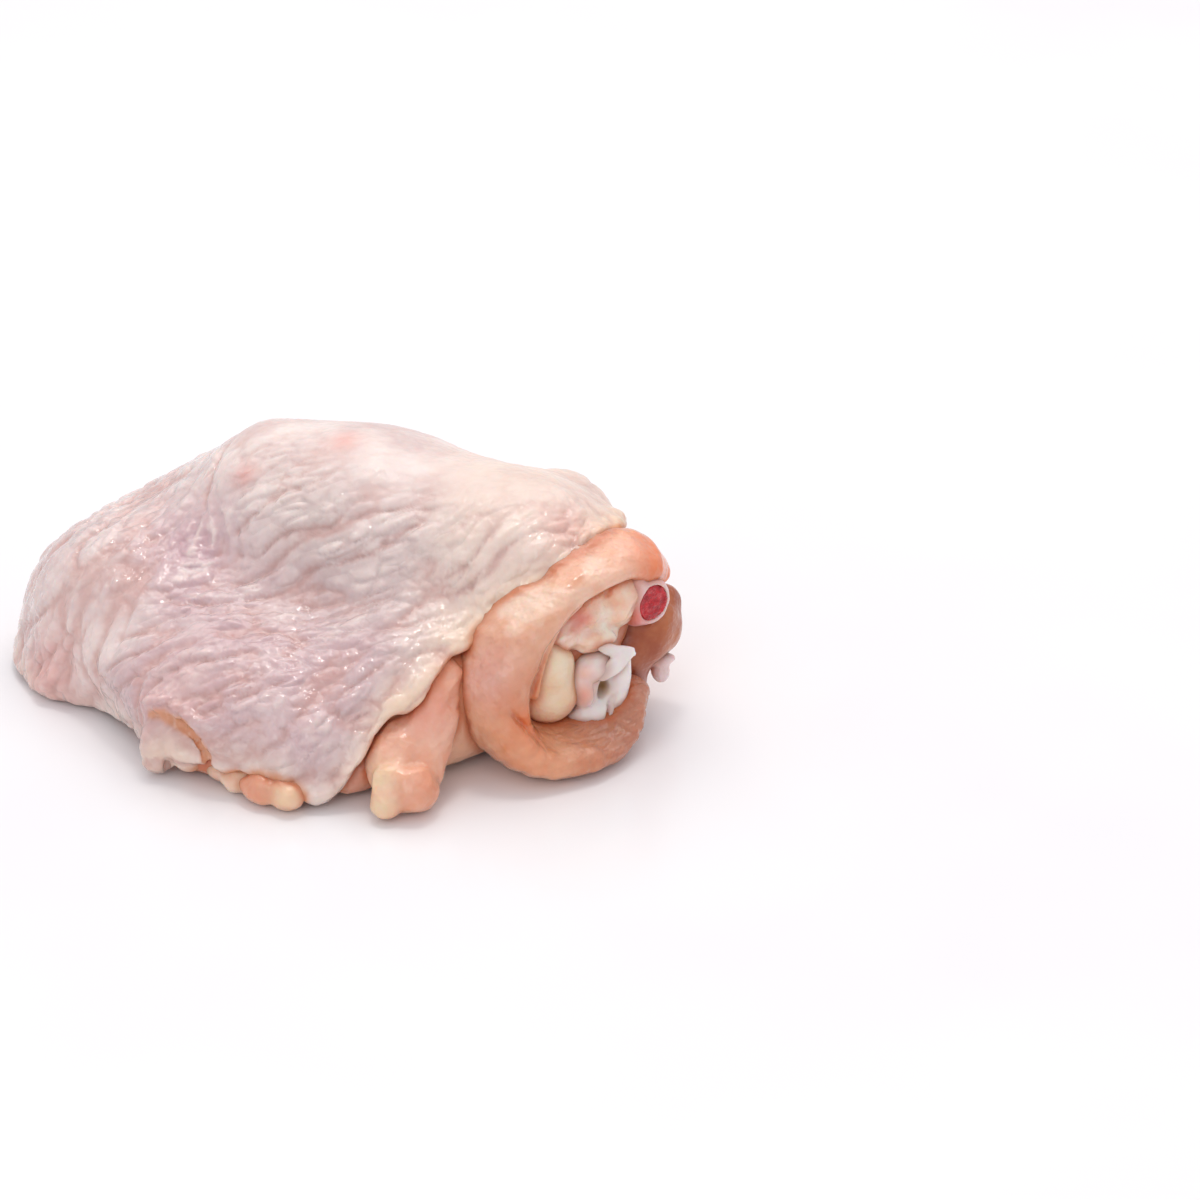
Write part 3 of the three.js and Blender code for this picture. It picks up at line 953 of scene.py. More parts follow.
@dataclass(frozen=True)
class Skin:
    """The sheet of skin with its rolled edge, its folds in front and its wrinkles."""

    body: Body
    voxel: float = 0.5
    thickness: float = 1.6
    lip: float = 1.2
    folds: tuple[Roll, ...] = (
        Roll(((-49.6, -28.4, 1.8, 1.0, 1.4), (-46.6, -28.8, 2.8, 2.0, 2.4), (-41.5, -28.0, 3.6, 2.4, 2.8),
              (-37.5, -26.0, 3.6, 1.8, 2.2)), FOLD_ACROSS),
        Roll(((-17.5, -35.0, 9.4, 1.0, 1.6), (-14.2, -35.9, 11.8, 1.5, 2.2), (-10.6, -35.8, 12.6, 1.7, 2.3),
              (-6.4, -36.0, 12.2, 1.8, 2.3), (-2.2, -36.6, 10.6, 1.9, 2.3), (1.2, -37.0, 8.2, 1.7, 2.2),
              (3.4, -36.4, 5.2, 1.2, 1.8)), FOLD_ACROSS),
    )
    flap: tuple[Roll, ...] = (
        Roll(((-12.2, -36.0, 9.2, 2.2, 3.0), (-11.6, -38.0, 6.4, 2.6, 3.4), (-11.2, -39.2, 2.6, 2.3, 3.0)),
             FOLD_ACROSS),
        Roll(((-7.4, -36.2, 8.8, 2.3, 3.6), (-6.2, -36.8, 5.8, 2.6, 3.6), (-5.8, -36.4, 3.4, 2.0, 3.0)),
             FOLD_ACROSS),
    )
    notch: Blob = Blob((-8.4, -40.2, 2.2), (0.5, 2.6, 2.2), (0, 0, 35))
    groove: Roll = Roll(((-13.2, -38.4, 11.0, 0.4, 0.4), (-11.4, -38.4, 11.6, 0.6, 0.6),
                         (-8.6, -38.6, 11.2, 0.7, 0.7), (-5.2, -38.6, 10.4, 0.8, 0.8),
                         (-2.2, -38.4, 8.8, 0.8, 0.8), (-0.6, -38.4, 6.4, 0.8, 0.8),
                         (-0.6, -37.6, 3.4, 0.8, 0.8)), FOLD_ACROSS)
    # How wide the painted shade along the groove is, in millimetres.
    groove_shade_reach: float = 0.5
    relief_depth: float = 1.5
    relief_level: float = 0.65
    sag: float = 0.45
    kept_under_edge: float = 7.0
    blush: tuple[Spot, ...] = (
        (0.8, (-12, 16.7, 43.8), 3.2), (0.7, (-26, 4.9, 37.5), 2.8), (0.7, (-45, -28.7, 6.6), 8),
        (0.3, (-11, -34, 14), 8), (0.5, (36, 20, 38), 6),
    )
    # Where the skin is laid darker and duller: painted shade on its front slopes, which face away from the
    # overhead light.
    front_shade_grey: tuple[Spot, ...] = ((1.0, (13, -6, 24), 13), (0.7, (-6, 0, 34), 10), (0.5, (-4, -22, 22), 10))

    def distance(self, points: Array) -> Array:
        """How far each point is outside the skin.

        Args:
            points: Points in millimetres, one a row.

        Returns:
            Distances in millimetres, negative inside the sheet.
        """
        form = self.body.distance(points)
        over = self.body.beyond_edge(points) + 0.6 * Noise.soft(points, 6, 3)
        thick = self.lip * np.exp(-(((over + 2.0) / 2.2) ** 2)) * smoothstep(points[:, 0], 5, 22)
        sheet = smooth_max(form - thick, -(form + self.thickness), 0.8)
        sheet = smooth_max(sheet, over, 1.6)
        for fold in self.folds:
            sheet = smooth_min(sheet, fold.distance(points), 1.8)
        sheet = smooth_max(sheet, -self.groove.distance(points), 0.5)
        flap = joined([roll.distance for roll in self.flap], 0.9)(points)
        sheet = smooth_min(sheet, smooth_max(flap, -self.notch.distance(points), 0.5), 0.9)
        return smooth_max(sheet, -points[:, 2], 0.6)

    def wrinkles(self, points: Array) -> tuple[Array, Array, Array]:
        """The skin's relief.

        Args:
            points: Points in millimetres, one a row.

        Returns:
            Height in millimetres, how deep in a crease each point is and how high on a crest, from 0 to 1.
        """
        x, y, z = points.T
        hip = smoothstep(-x, 26, 34)
        knee = smoothstep(x + 0.35 * y, 14, 26)
        side = smoothstep(26 - z, 0, 8) * smoothstep(x, 4, 14) * (1 - knee)
        front = smoothstep(-y, 16, 28) * (1 - hip) * (1 - side)
        middle = np.clip(1 - hip - knee - front - side, 0, 1)
        zones = (
            (middle, Grain((0.72, 0.5, 0.45), 6.4, 2.4, 11)),
            (side, Grain((0.1, 0.92, 0.38), 6.2, 2.3, 17)),
            (knee, Grain((0.3, 0.8, 0.5), 6.2, 2.4, 12)),
            (hip, Grain((-0.05, 0.84, 0.52), 6.0, 2.6, 13)),
            (front, Grain((0.6, 0.74, 0.3), 4.6, 2.0, 14)),
        )
        relief = np.zeros(len(points))
        for share, grain in zones:
            here = share > 0.01
            long = replace(grain, length=3.4 * grain.length, width=1.7 * grain.width, seed=grain.seed + 5)
            fine = replace(grain, length=0.45 * grain.length, width=0.55 * grain.width, seed=grain.seed + 15)
            calm = 0.5 + 0.5 * smoothstep(Noise.soft(points[here], 12, 19), -0.4, 0.2)
            part = 0.44 * calm * grain.pebbles(points[here]) + 0.54 * long.folds(points[here])
            relief[here] += share[here] * (part + 0.06 * fine.ripples(points[here]))
        valley = spot(points, (-28, -5, 27), 9)
        upright = Grain((-0.48, 0.72, 0.51), 10, 2.6, 15).ripples(points)
        relief = relief * (1 - 0.6 * valley) + 0.75 * valley * upright
        smooth_top = smoothstep(z, 36, 43) * (1 - spot(points, (-18, 6, 38), 9))
        behind = smoothstep(y, 22, 34)
        strength = (1 - 0.85 * smooth_top) * (1 - 0.5 * behind)
        height = strength * self.relief_depth * (relief - self.relief_level)
        # How far into a crease and onto a crest each point lies, for the painted shade in the creases and
        # painted highlight on the crests.
        crease = strength * smoothstep(0.55 - relief, 0.0, 0.35)
        return height, crease, strength * smoothstep(relief, 0.66, 0.9)

    def masks(self, points: Array, over: Array, crease: Array, crest: Array) -> dict[str, Array]:
        """Where the skin's colours lie, painted light and shade among them.

        Args:
            points: Points in millimetres, one a row.
            over: Distance beyond the skin's edge.
            crease: How deep in a crease each point is, from 0 to 1.
            crest: How high on a crest it is, from 0 to 1.

        Returns:
            The masks that the skin's finish reads.
        """
        x, y, z = points.T
        patches = 0.5 + 0.5 * Noise.soft(points, 11, 31)
        low = smoothstep(-y + 0.2 * z, 4, 24) * smoothstep(30 - np.abs(x + 2), 0, 14)
        rim = np.exp(-((np.minimum(over + 1.5, 0) / 3.6) ** 2))
        knee = smoothstep(x + 0.5 * y, 10, 28)
        flap = spot(points, (-9, -39, 5), 7)
        # The valley by the hip, laid lilac as painted shade.
        fold = 0.85 * spot(points, (-30, -6, 26), 10)
        # Painted light: the top towards the knee is laid lighter, where the overhead light falls.
        pale = smoothstep(x + 0.5 * y, 8, 26) * smoothstep(z, 30, 38)
        return {
            "pale": 0.45 * pale,
            # Painted shade on the front slopes.
            "front_shade_grey": 0.8 * spots(points, self.front_shade_grey) * (0.5 + 0.5 * patches),
            # Lilac over the dark muscle, stronger towards the front and lower down, where it is partly painted
            # shade, and the painted shade of the valley by the hip.
            "lilac": fold + ((0.25 + 0.75 * low) * (0.45 + 0.55 * patches) * (1 - rim)
                             * smoothstep(40 - z, 0, 14)),
            "cream": np.clip(rim * (0.25 + 0.65 * smoothstep(x + 0.3 * y, 8, 20)) * (0.4 + 0.6 * patches)
                             + 0.3 * knee + 0.35 * flap, 0, 1),
            "blush": spots(points, self.blush) * (0.5 + 0.5 * patches),
            # Painted shade in the creases and painted highlight on the crests.
            "crease": 0.6 * crease,
            "crest": 0.7 * crest * (1 - 0.5 * low),
            "turned": np.clip(smoothstep(-x, 26, 34) + smoothstep(x + 0.35 * y, 14, 26), 0, 1),
            "lumpy": (1 - 0.8 * smoothstep(z, 37, 42)) * (0.35 + 0.65 * smoothstep(patches, 0.25, 0.6))
            * (1 - 0.6 * smoothstep(y, 22, 34)),
            "wet": 0.25 + 0.75 * smoothstep(42 - z, 0, 8) * smoothstep(30 - y, 0, 10),
        }

    def build(self, neighbours: Sequence[Field]) -> list[bpy.types.Object]:
        """Makes the skin.

        Args:
            neighbours: The distance functions of the other pieces.

        Returns:
            The one object.
        """
        surface = Mesher.of(self.voxel).surface(self.distance, (-71, -46, -1.5), (48, 58, 50))
        over = self.body.beyond_edge(surface.points)
        form = self.body.distance(surface.points)
        outside = form > -0.5 * self.thickness
        height, crease, crest = self.wrinkles(surface.points)
        hem = smoothstep(-over, -0.5, 3.0) * smoothstep(surface.points[:, 2], 0.3, 4.0)
        height = np.where(outside, height * (0.35 + 0.65 * hem), 0.0)
        surface.masks = self.masks(surface.points, over, crease, crest)
        # Painted shade: a warmer, darker colour where other pieces touch the skin near its edge and along the
        # groove.
        groove = np.maximum(self.groove.distance(surface.points), 0)
        surface.masks["seam"] = np.maximum(surface.seam(neighbours, 0.9) * smoothstep(over, -4.0, -2.0),
                                           0.9 * np.exp(-((groove / self.groove_shade_reach) ** 2)))
        surface.displace(height, self.sag)
        surface.lift()
        surface.keep(outside | (over > -self.kept_under_edge))
        return [surface.to_object("skin_sheet", "skin", "skin", SkinFinish().build())]


@dataclass(frozen=True)
class ThighMeat:
    """The large muscle that the skin covers, bare underneath and beside the knee."""

    body: Body
    voxel: float = 0.75
    under_skin: float = 1.9
    bare_inset: float = 0.9

    def distance(self, points: Array) -> Array:
        """Distances in millimetres to the muscle, negative inside."""
        over = self.body.beyond_edge(points)
        inset = self.under_skin + smoothstep(over, -1.0, 3.0) * (self.bare_inset - self.under_skin)
        x, y, z = points.T
        low = smoothstep(6 - z, 0, 5) * smoothstep(-np.hypot(x + 4, y - 10), -46, -30)
        seams = 0.9 * low * np.abs(np.sin(y / 9 + 0.9 * np.sin(x / 17)))
        return smooth_max(self.body.distance(points) + inset, seams - z, 1.5)

    def build(self, neighbours: Sequence[Field]) -> list[bpy.types.Object]:
        """Makes the muscle.

        Args:
            neighbours: The distance functions of the other pieces.

        Returns:
            The one object.
        """
        surface = Mesher.of(self.voxel).surface(self.distance, (-70, -46, -1.5), (48, 58, 48))
        points = surface.points
        fibres = Grain((1, 0.15, 0), 14, 1.6, 51).ripples(points)
        surface.masks = {
            "mark": np.maximum(0.9 * smoothstep(Noise.soft(points, 9, 52), 0.05, 0.4),
                               spot(points, (29, -11, 9), 9)),
            "seam": surface.seam(neighbours),
        }
        surface.displace(0.3 * (fibres - 0.6) + 0.25 * Noise.soft(points, 6, 53))
        surface.lift()
        # Fresh thigh meat, pink with paler streaks of fat along its fibres.
        finish = FleshFinish("raw_meat", "#dd9c84", "#e6b096", (("mark", "#f2c4a4", 1.0),), grain_mm=0.9,
                             stretch=(0.3, 1, 1))
        return [surface.to_object("bare_meat", "thigh_meat", "meat", finish.build())]


# ---------------------------------------------------------------- the cut knee

@dataclass(frozen=True)
class Knee:
    """The cut knee's own directions: along its face from the near edge, out of it, and up."""

    foot: tuple[float, float, float] = (32.8, -6.3, 0.0)
    turn: float = 24.7

    @property
    def along(self) -> Array:
        """The direction along the knee's face."""
        angle = math.radians(self.turn)
        return np.array([math.sin(angle), math.cos(angle), 0.0])

    @property
    def out(self) -> Array:
        """The direction in which the knee's face looks."""
        return np.array([self.along[1], -self.along[0], 0.0])

    def place(self, along: float, out: float, up: float) -> tuple[float, float, float]:
        """A place given in the knee's directions, as a point in millimetres."""
        return tuple(np.asarray(self.foot) + along * self.along + out * self.out + np.array([0, 0, up]))

    def local(self, points: Array) -> Array:
        """Points in the knee's directions: along, out and up in a row."""
        rel = points - np.asarray(self.foot)
        return np.stack([rel @ self.along, rel @ self.out, rel[:, 2]], axis=1)

    def blob(self, place: tuple[float, float, float], radii: tuple[float, float, float],
             lean: float = 0.0, twist: float = 0.0, roll: float = 0.0) -> Blob:
        """An ellipsoid on the knee.

        Args:
            place: Its middle, along, out and up.
            radii: Its half sizes out, along and up.
            lean: Turn about the knee's along direction, in degrees.
            twist: Turn about the vertical.
            roll: Turn about the knee's outward direction.

        Returns:
            The ellipsoid.
        """
        return Blob(self.place(*place), radii, (roll, lean, twist - self.turn))


@dataclass(frozen=True)
class KneeMuscle:
    """The thick muscle that curls round the joint, under a thin glossy membrane."""

    knee: Knee
    body: Body
    voxel: float = 0.4
    stations: tuple[tuple[float, float, float, float, float], ...] = (
        (40.8, -7.4, 27.2, 3.2, 5.6),
        (36.0, -6.5, 30.8, 4.2, 8.0),
        (28.0, -6.0, 32.2, 3.3, 9.0),
        (20.0, -5.2, 30.2, 3.3, 9.2),
        (13.0, -3.6, 26.2, 4.1, 9.6),
        (7.0, -2.6, 19.8, 5.4, 10.0),
        (4.3, -1.0, 11.4, 5.9, 10.0),
        (8.0, 2.6, 4.7, 4.4, 10.4),
        (16.0, 4.6, 3.2, 3.5, 10.6),
        (24.5, 2.2, 3.4, 3.3, 9.6),
        (30.4, -1.4, 7.0, 3.6, 7.6),
    )
    inner_stations: tuple[tuple[float, float, float, float, float], ...] = (
        (20.5, -1.6, 28.6, 0.9, 5.0),
        (16.0, -1.4, 25.0, 0.9, 5.4),
        (12.6, -0.6, 20.0, 0.9, 5.8),
        (10.8, -0.6, 14.0, 1.2, 5.8),
    )

    def rolls(self) -> tuple[Roll, Roll]:
        """The muscle as a bent roll, and the thinner layer inside its bend."""
        outer, inner = (tuple((*self.knee.place(*row[:3]), *row[3:]) for row in rows)
                        for rows in (self.stations, self.inner_stations))
        return Roll(outer, tuple(self.knee.out), 4), Roll(inner, tuple(self.knee.out), 4)

    def distance(self, points: Array) -> Array:
        """Distances in millimetres to the muscle, negative inside."""
        outer, inner = self.rolls()
        form = outer.distance(points) + 0.5 * Noise.soft(points, 9, 61)
        form = smooth_min(form, inner.distance(points), 1.0)
        fold = self.knee.blob((5.8, 9.6, 12.0), (2.4, 4.4, 0.6), roll=-52)
        form = smooth_max(form, -fold.distance(points), 1.8)
        return smooth_max(form, -points[:, 2], 1.0)

    def build(self, neighbours: Sequence[Field]) -> list[bpy.types.Object]:
        """Makes the muscle.

        Args:
            neighbours: The distance functions of the other pieces.

        Returns:
            The one object.
        """
        surface = Mesher.of(self.voxel).surface(self.distance, (16, -22, -1.2), (62, 46, 42))
        points = surface.points
        run = self.rolls()[0].nearest(points)[1]
        local = self.knee.local(points)
        lines = np.stack([run * 0.12, local[:, 1], local[:, 2] - local[:, 0] * 0.2], axis=1)
        fibres = 1 - np.abs(Noise.soft(lines, 1.1, 62))
        tongue = smoothstep(run, 60, 72)
        # Painted light: orange where light shines through the thin far end of the muscle, and orange painted
        # shade in the fold where it meets the tongue.
        painted_glow = spots(points, ((1.0, self.knee.place(40, -2.0, 28.5), 10.0),
                              (0.7, self.knee.place(7.4, 8, 10.4), 3.6)))
        over = self.body.beyond_edge(points)
        veil = smoothstep(Noise.soft(points, 7, 64) + 0.3 * Noise.soft(points, 2.2, 65), -0.1, 0.5)
        surface.masks = {
            "mark": np.clip(0.8 * tongue + 0.3 * smoothstep(fibres, 0.8, 1.0) * (0.3 + tongue), 0, 1),
            "painted_glow": painted_glow,
            # The silverskin's whitish tone, laid only on the upper part, where it also stands for the sheen of
            # light on it: partly painted highlight.
            "membrane": (veil * (1 - tongue) * smoothstep(38 - local[:, 0], 0, 8)
                         * smoothstep(local[:, 2], 10, 24)),
            # Cream fat along the skin's edge on the upper part, partly painted highlight there.
            "hem": smoothstep(9 - over, 0, 6) * (0.45 + 0.55 * veil) * smoothstep(local[:, 2], 14, 24),
            "blush": spot(points, self.knee.place(1.5, 3, 20), 6.5),
            "seam": surface.seam(neighbours),
        }
        calm = smoothstep(38 - local[:, 0], 0, 6)
        surface.displace((0.12 * calm + 0.4 * tongue) * (fibres - 0.7) + 0.35 * Noise.soft(points, 5, 63))
        surface.lift()
        layers = (("membrane", "#f4d4c0", 0.4), ("hem", "#f5d8c2", 0.7), ("blush", "#dd9c92", 0.6),
                  ("mark", "#bb7a60", 1.0), ("painted_glow", "#ee7d45", 1.0))
        # The same meat under its wet, bluish white silverskin: peach, glossy and slightly see-through. Its
        # colour also holds painted light: orange where light shines through and in the fold by the tongue, a
        # sheen laid in with the silverskin and the cream by the skin's edge, and painted shade where other
        # pieces touch it.
        finish = FleshFinish("membraned_muscle", "#e0966c", "#efba98", layers, patch_mm=9, crinkle_mm=3.2,
                             crinkle_depth_mm=0.4, grain_mm=1.4, roughness=0.28, wet=0.9, inside=3.0)
        return [surface.to_object("curled_muscle", "knee_muscle", "knee_muscle", finish.build())]


@dataclass(frozen=True)
class Lump:
    """One soft piece of the cut knee or of the fat in front.

    Attributes:
        name: The object's name.
        node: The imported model's node.
        slot: The record's material slot.
        blobs: The ellipsoids that it is made of.
        finish: What it looks like.
        voxel: Fineness of its mesh, in millimetres.
        softness: How softly the ellipsoids run together.
        bumps: Depth of its large bumps, in millimetres.
        bump_size: Size of the large bumps.
        folds: Small folds in its surface, if it has any.
        fold_depth: Depth of the folds.
        hollows: Ellipsoids cut out of it.
        marks: Mask name, middle and radius of each spot that its finish brings out.
    """

    name: str
    node: str
    slot: str
    blobs: tuple[Blob | Roll, ...]
    finish: FleshFinish
    voxel: float = 0.35
    softness: float = 2.0
    bumps: float = 0.4
    bump_size: float = 4.0
    folds: Grain | None = None
    fold_depth: float = 0.5
    hollows: tuple[Blob, ...] = ()
    marks: tuple[tuple[str, tuple[float, float, float], float], ...] = ()

    def distance(self, points: Array) -> Array:
        """Distances in millimetres to the piece, negative inside."""
        form = joined([blob.distance for blob in self.blobs], self.softness)(points)
        form = form + self.bumps * Noise.soft(points, self.bump_size, len(self.name))
        for hollow in self.hollows:
            form = smooth_max(form, -hollow.distance(points), 0.5)
        return smooth_max(form, -points[:, 2], 0.8)

    def box(self) -> tuple[Array, Array]:
        """The corners of a box round the piece."""
        lows, highs = [], []
        for blob in self.blobs:
            rows = blob.path() if isinstance(blob, Roll) else np.array([[*blob.centre, *blob.radii[:2]]])
            size = rows[:, 3:].max() if isinstance(blob, Roll) else max(blob.radii)
            lows.append(rows[:, :3].min(axis=0) - size - 1.5)
            highs.append(rows[:, :3].max(axis=0) + size + 1.5)
        low = np.min(lows, axis=0)
        low[2] = max(low[2], -1.2)
        return low, np.max(highs, axis=0)

    def build(self, neighbours: Sequence[Field]) -> list[bpy.types.Object]:
        """Makes the piece.

        Args:
            neighbours: The distance functions of the other pieces.

        Returns:
            The one object.
        """
        surface = Mesher.of(self.voxel).surface(self.distance, *self.box())
        points = surface.points
        surface.masks = {"seam": surface.seam(neighbours, 0.9)}
        for mask, centre, radius in self.marks:
            surface.masks[mask] = np.maximum(surface.masks.get(mask, 0.0), spot(points, centre, radius))
        if self.folds:
            surface.displace(self.fold_depth * (self.folds.ripples(points) - 0.6))
        surface.lift()
        return [surface.to_object(self.name, self.node, self.slot, self.finish.build())]


@dataclass(frozen=True)
class CutBone:
    """The sawn thin bone: a pale pink wall round dark marrow."""

    knee: Knee
    along: float = 36.9
    up: float = 24.2
    out: float = 1.4
    back: float = -12.0
    wide: float = 3.3
    high: float = 3.9
    marrow_share: float = 0.78
    marrow_depth: float = 6.0
    lean: float = 14.0
    bone_voxel: float = 0.3
    marrow_voxel: float = 0.25
    reach: Point = (9.5, 8.5, 6.5)

    def rod(self, points: Array, share: float, low: float, high: float, rounding: float) -> Array:
        """Distances to an oval rod in the bone's direction.

        Args:
            points: Points in millimetres, one a row.
            share: Its width and height as a share of the bone's.
            low: Where it starts, out of the knee's face.
            high: Where it ends.
            rounding: Rounding of its rim.

        Returns:
            Distances in millimetres, negative inside.
        """
        local = self.knee.local(points)
        flare = 1 + 0.12 * smoothstep(local[:, 1], -4, 1)
        wide, tall = self.wide * share * flare, self.high * share * flare
        tilt = math.radians(self.lean)
        across, rise = local[:, 0] - self.along, local[:, 2] - self.up
        oval = np.hypot((across * math.cos(tilt) - rise * math.sin(tilt)) / wide,
                        (across * math.sin(tilt) + rise * math.cos(tilt)) / tall)
        wall = (oval - 1) * (wide + tall) / 2
        ends = np.abs(local[:, 1] - (low + high) / 2) - (high - low) / 2
        return smooth_max(wall, ends, rounding)

    def distance(self, points: Array) -> Array:
        """Distances in millimetres to the bone's wall, negative inside."""
        bore = self.rod(points, self.marrow_share, self.out - self.marrow_depth, self.out + 3, 0.2)
        outer = self.rod(points, 1.0, self.back, self.out, 1.0) + 0.15 * Noise.soft(points, 2.2, 71)
        sleeve = self.knee.blob((self.along - 3.4, self.out - 2.6, self.up + 2.4), (3.2, 2.3, 4.4), roll=-22)
        stub = self.knee.blob((self.along - 2.6, self.out - 2.6, self.up - 1.6), (3.0, 2.4, 3.2))
        outer = smooth_min(smooth_min(outer, sleeve.distance(points), 1.0), stub.distance(points), 1.0)
        return smooth_max(outer, -bore, 0.35)

    def marrow(self, points: Array) -> Array:
        """Distances in millimetres to the marrow, negative inside."""
        core = self.rod(points, self.marrow_share * 1.03, self.out - self.marrow_depth, self.out - 0.1, 0.5)
        return core + 0.3 * Noise.soft(points, 0.9, 72)

    def build(self, neighbours: Sequence[Field]) -> list[bpy.types.Object]:
        """Makes the bone and its marrow.

        Args:
            neighbours: The distance functions of the other pieces.

        Returns:
            The bone and the marrow.
        """
        middle = np.asarray(self.knee.place(self.along, (self.back + self.out) / 2, self.up))
        reach = np.asarray(self.reach)
        bone = Mesher.of(self.bone_voxel).surface(self.distance, middle - reach, middle + reach)
        local = self.knee.local(bone.points)
        raw = spot(bone.points, self.knee.place(self.along - 3.6, self.out - 1.0, self.up - 2.0), 3.4)
        bone.masks = {"mark": 0.8 * smoothstep(local[:, 1], 0.2, 1.2), "raw": raw,
                      "seam": 0.6 * bone.seam(neighbours)}
        layers = (("mark", "#f0d6d2", 1.0), ("raw", "#e2776c", 0.9))
        # A young bird's bone, cut by a saw: pale pink, damp and almost smooth, redder where the cut is raw.
        bone_finish = FleshFinish("sawn_bone", "#ecb9b2", "#f2d0c8", layers, patch_mm=2.5,
                                  grain_mm=0.5, grain_depth_mm=0.04, crinkle_depth_mm=0.05, roughness=0.4,
                                  wet=0.5, inside=1.0)
        core = Mesher.of(self.marrow_voxel).surface(self.marrow, middle - reach, middle + reach)
        core.masks = {"mark": 0.7 * smoothstep(Noise.soft(core.points, 1.1, 73), 0.15, 0.5)}
        # Raw red marrow in its sawn bone: dark and wet, with a few paler specks of bone in it.
        core_finish = FleshFinish("marrow", "#d62f38", "#aa1a26", (("mark", "#e0706e", 0.45),),
                                  seam="#b8262f", patch_mm=1.2, crinkle_mm=1.0, grain_mm=0.4,
                                  grain_depth_mm=0.08, roughness=0.3, wet=0.7, inside=0.8)
        return [bone.to_object("sawn_bone", "bone_stub", "bone", bone_finish.build()),
                core.to_object("bone_marrow", "marrow", "marrow", core_finish.build())]


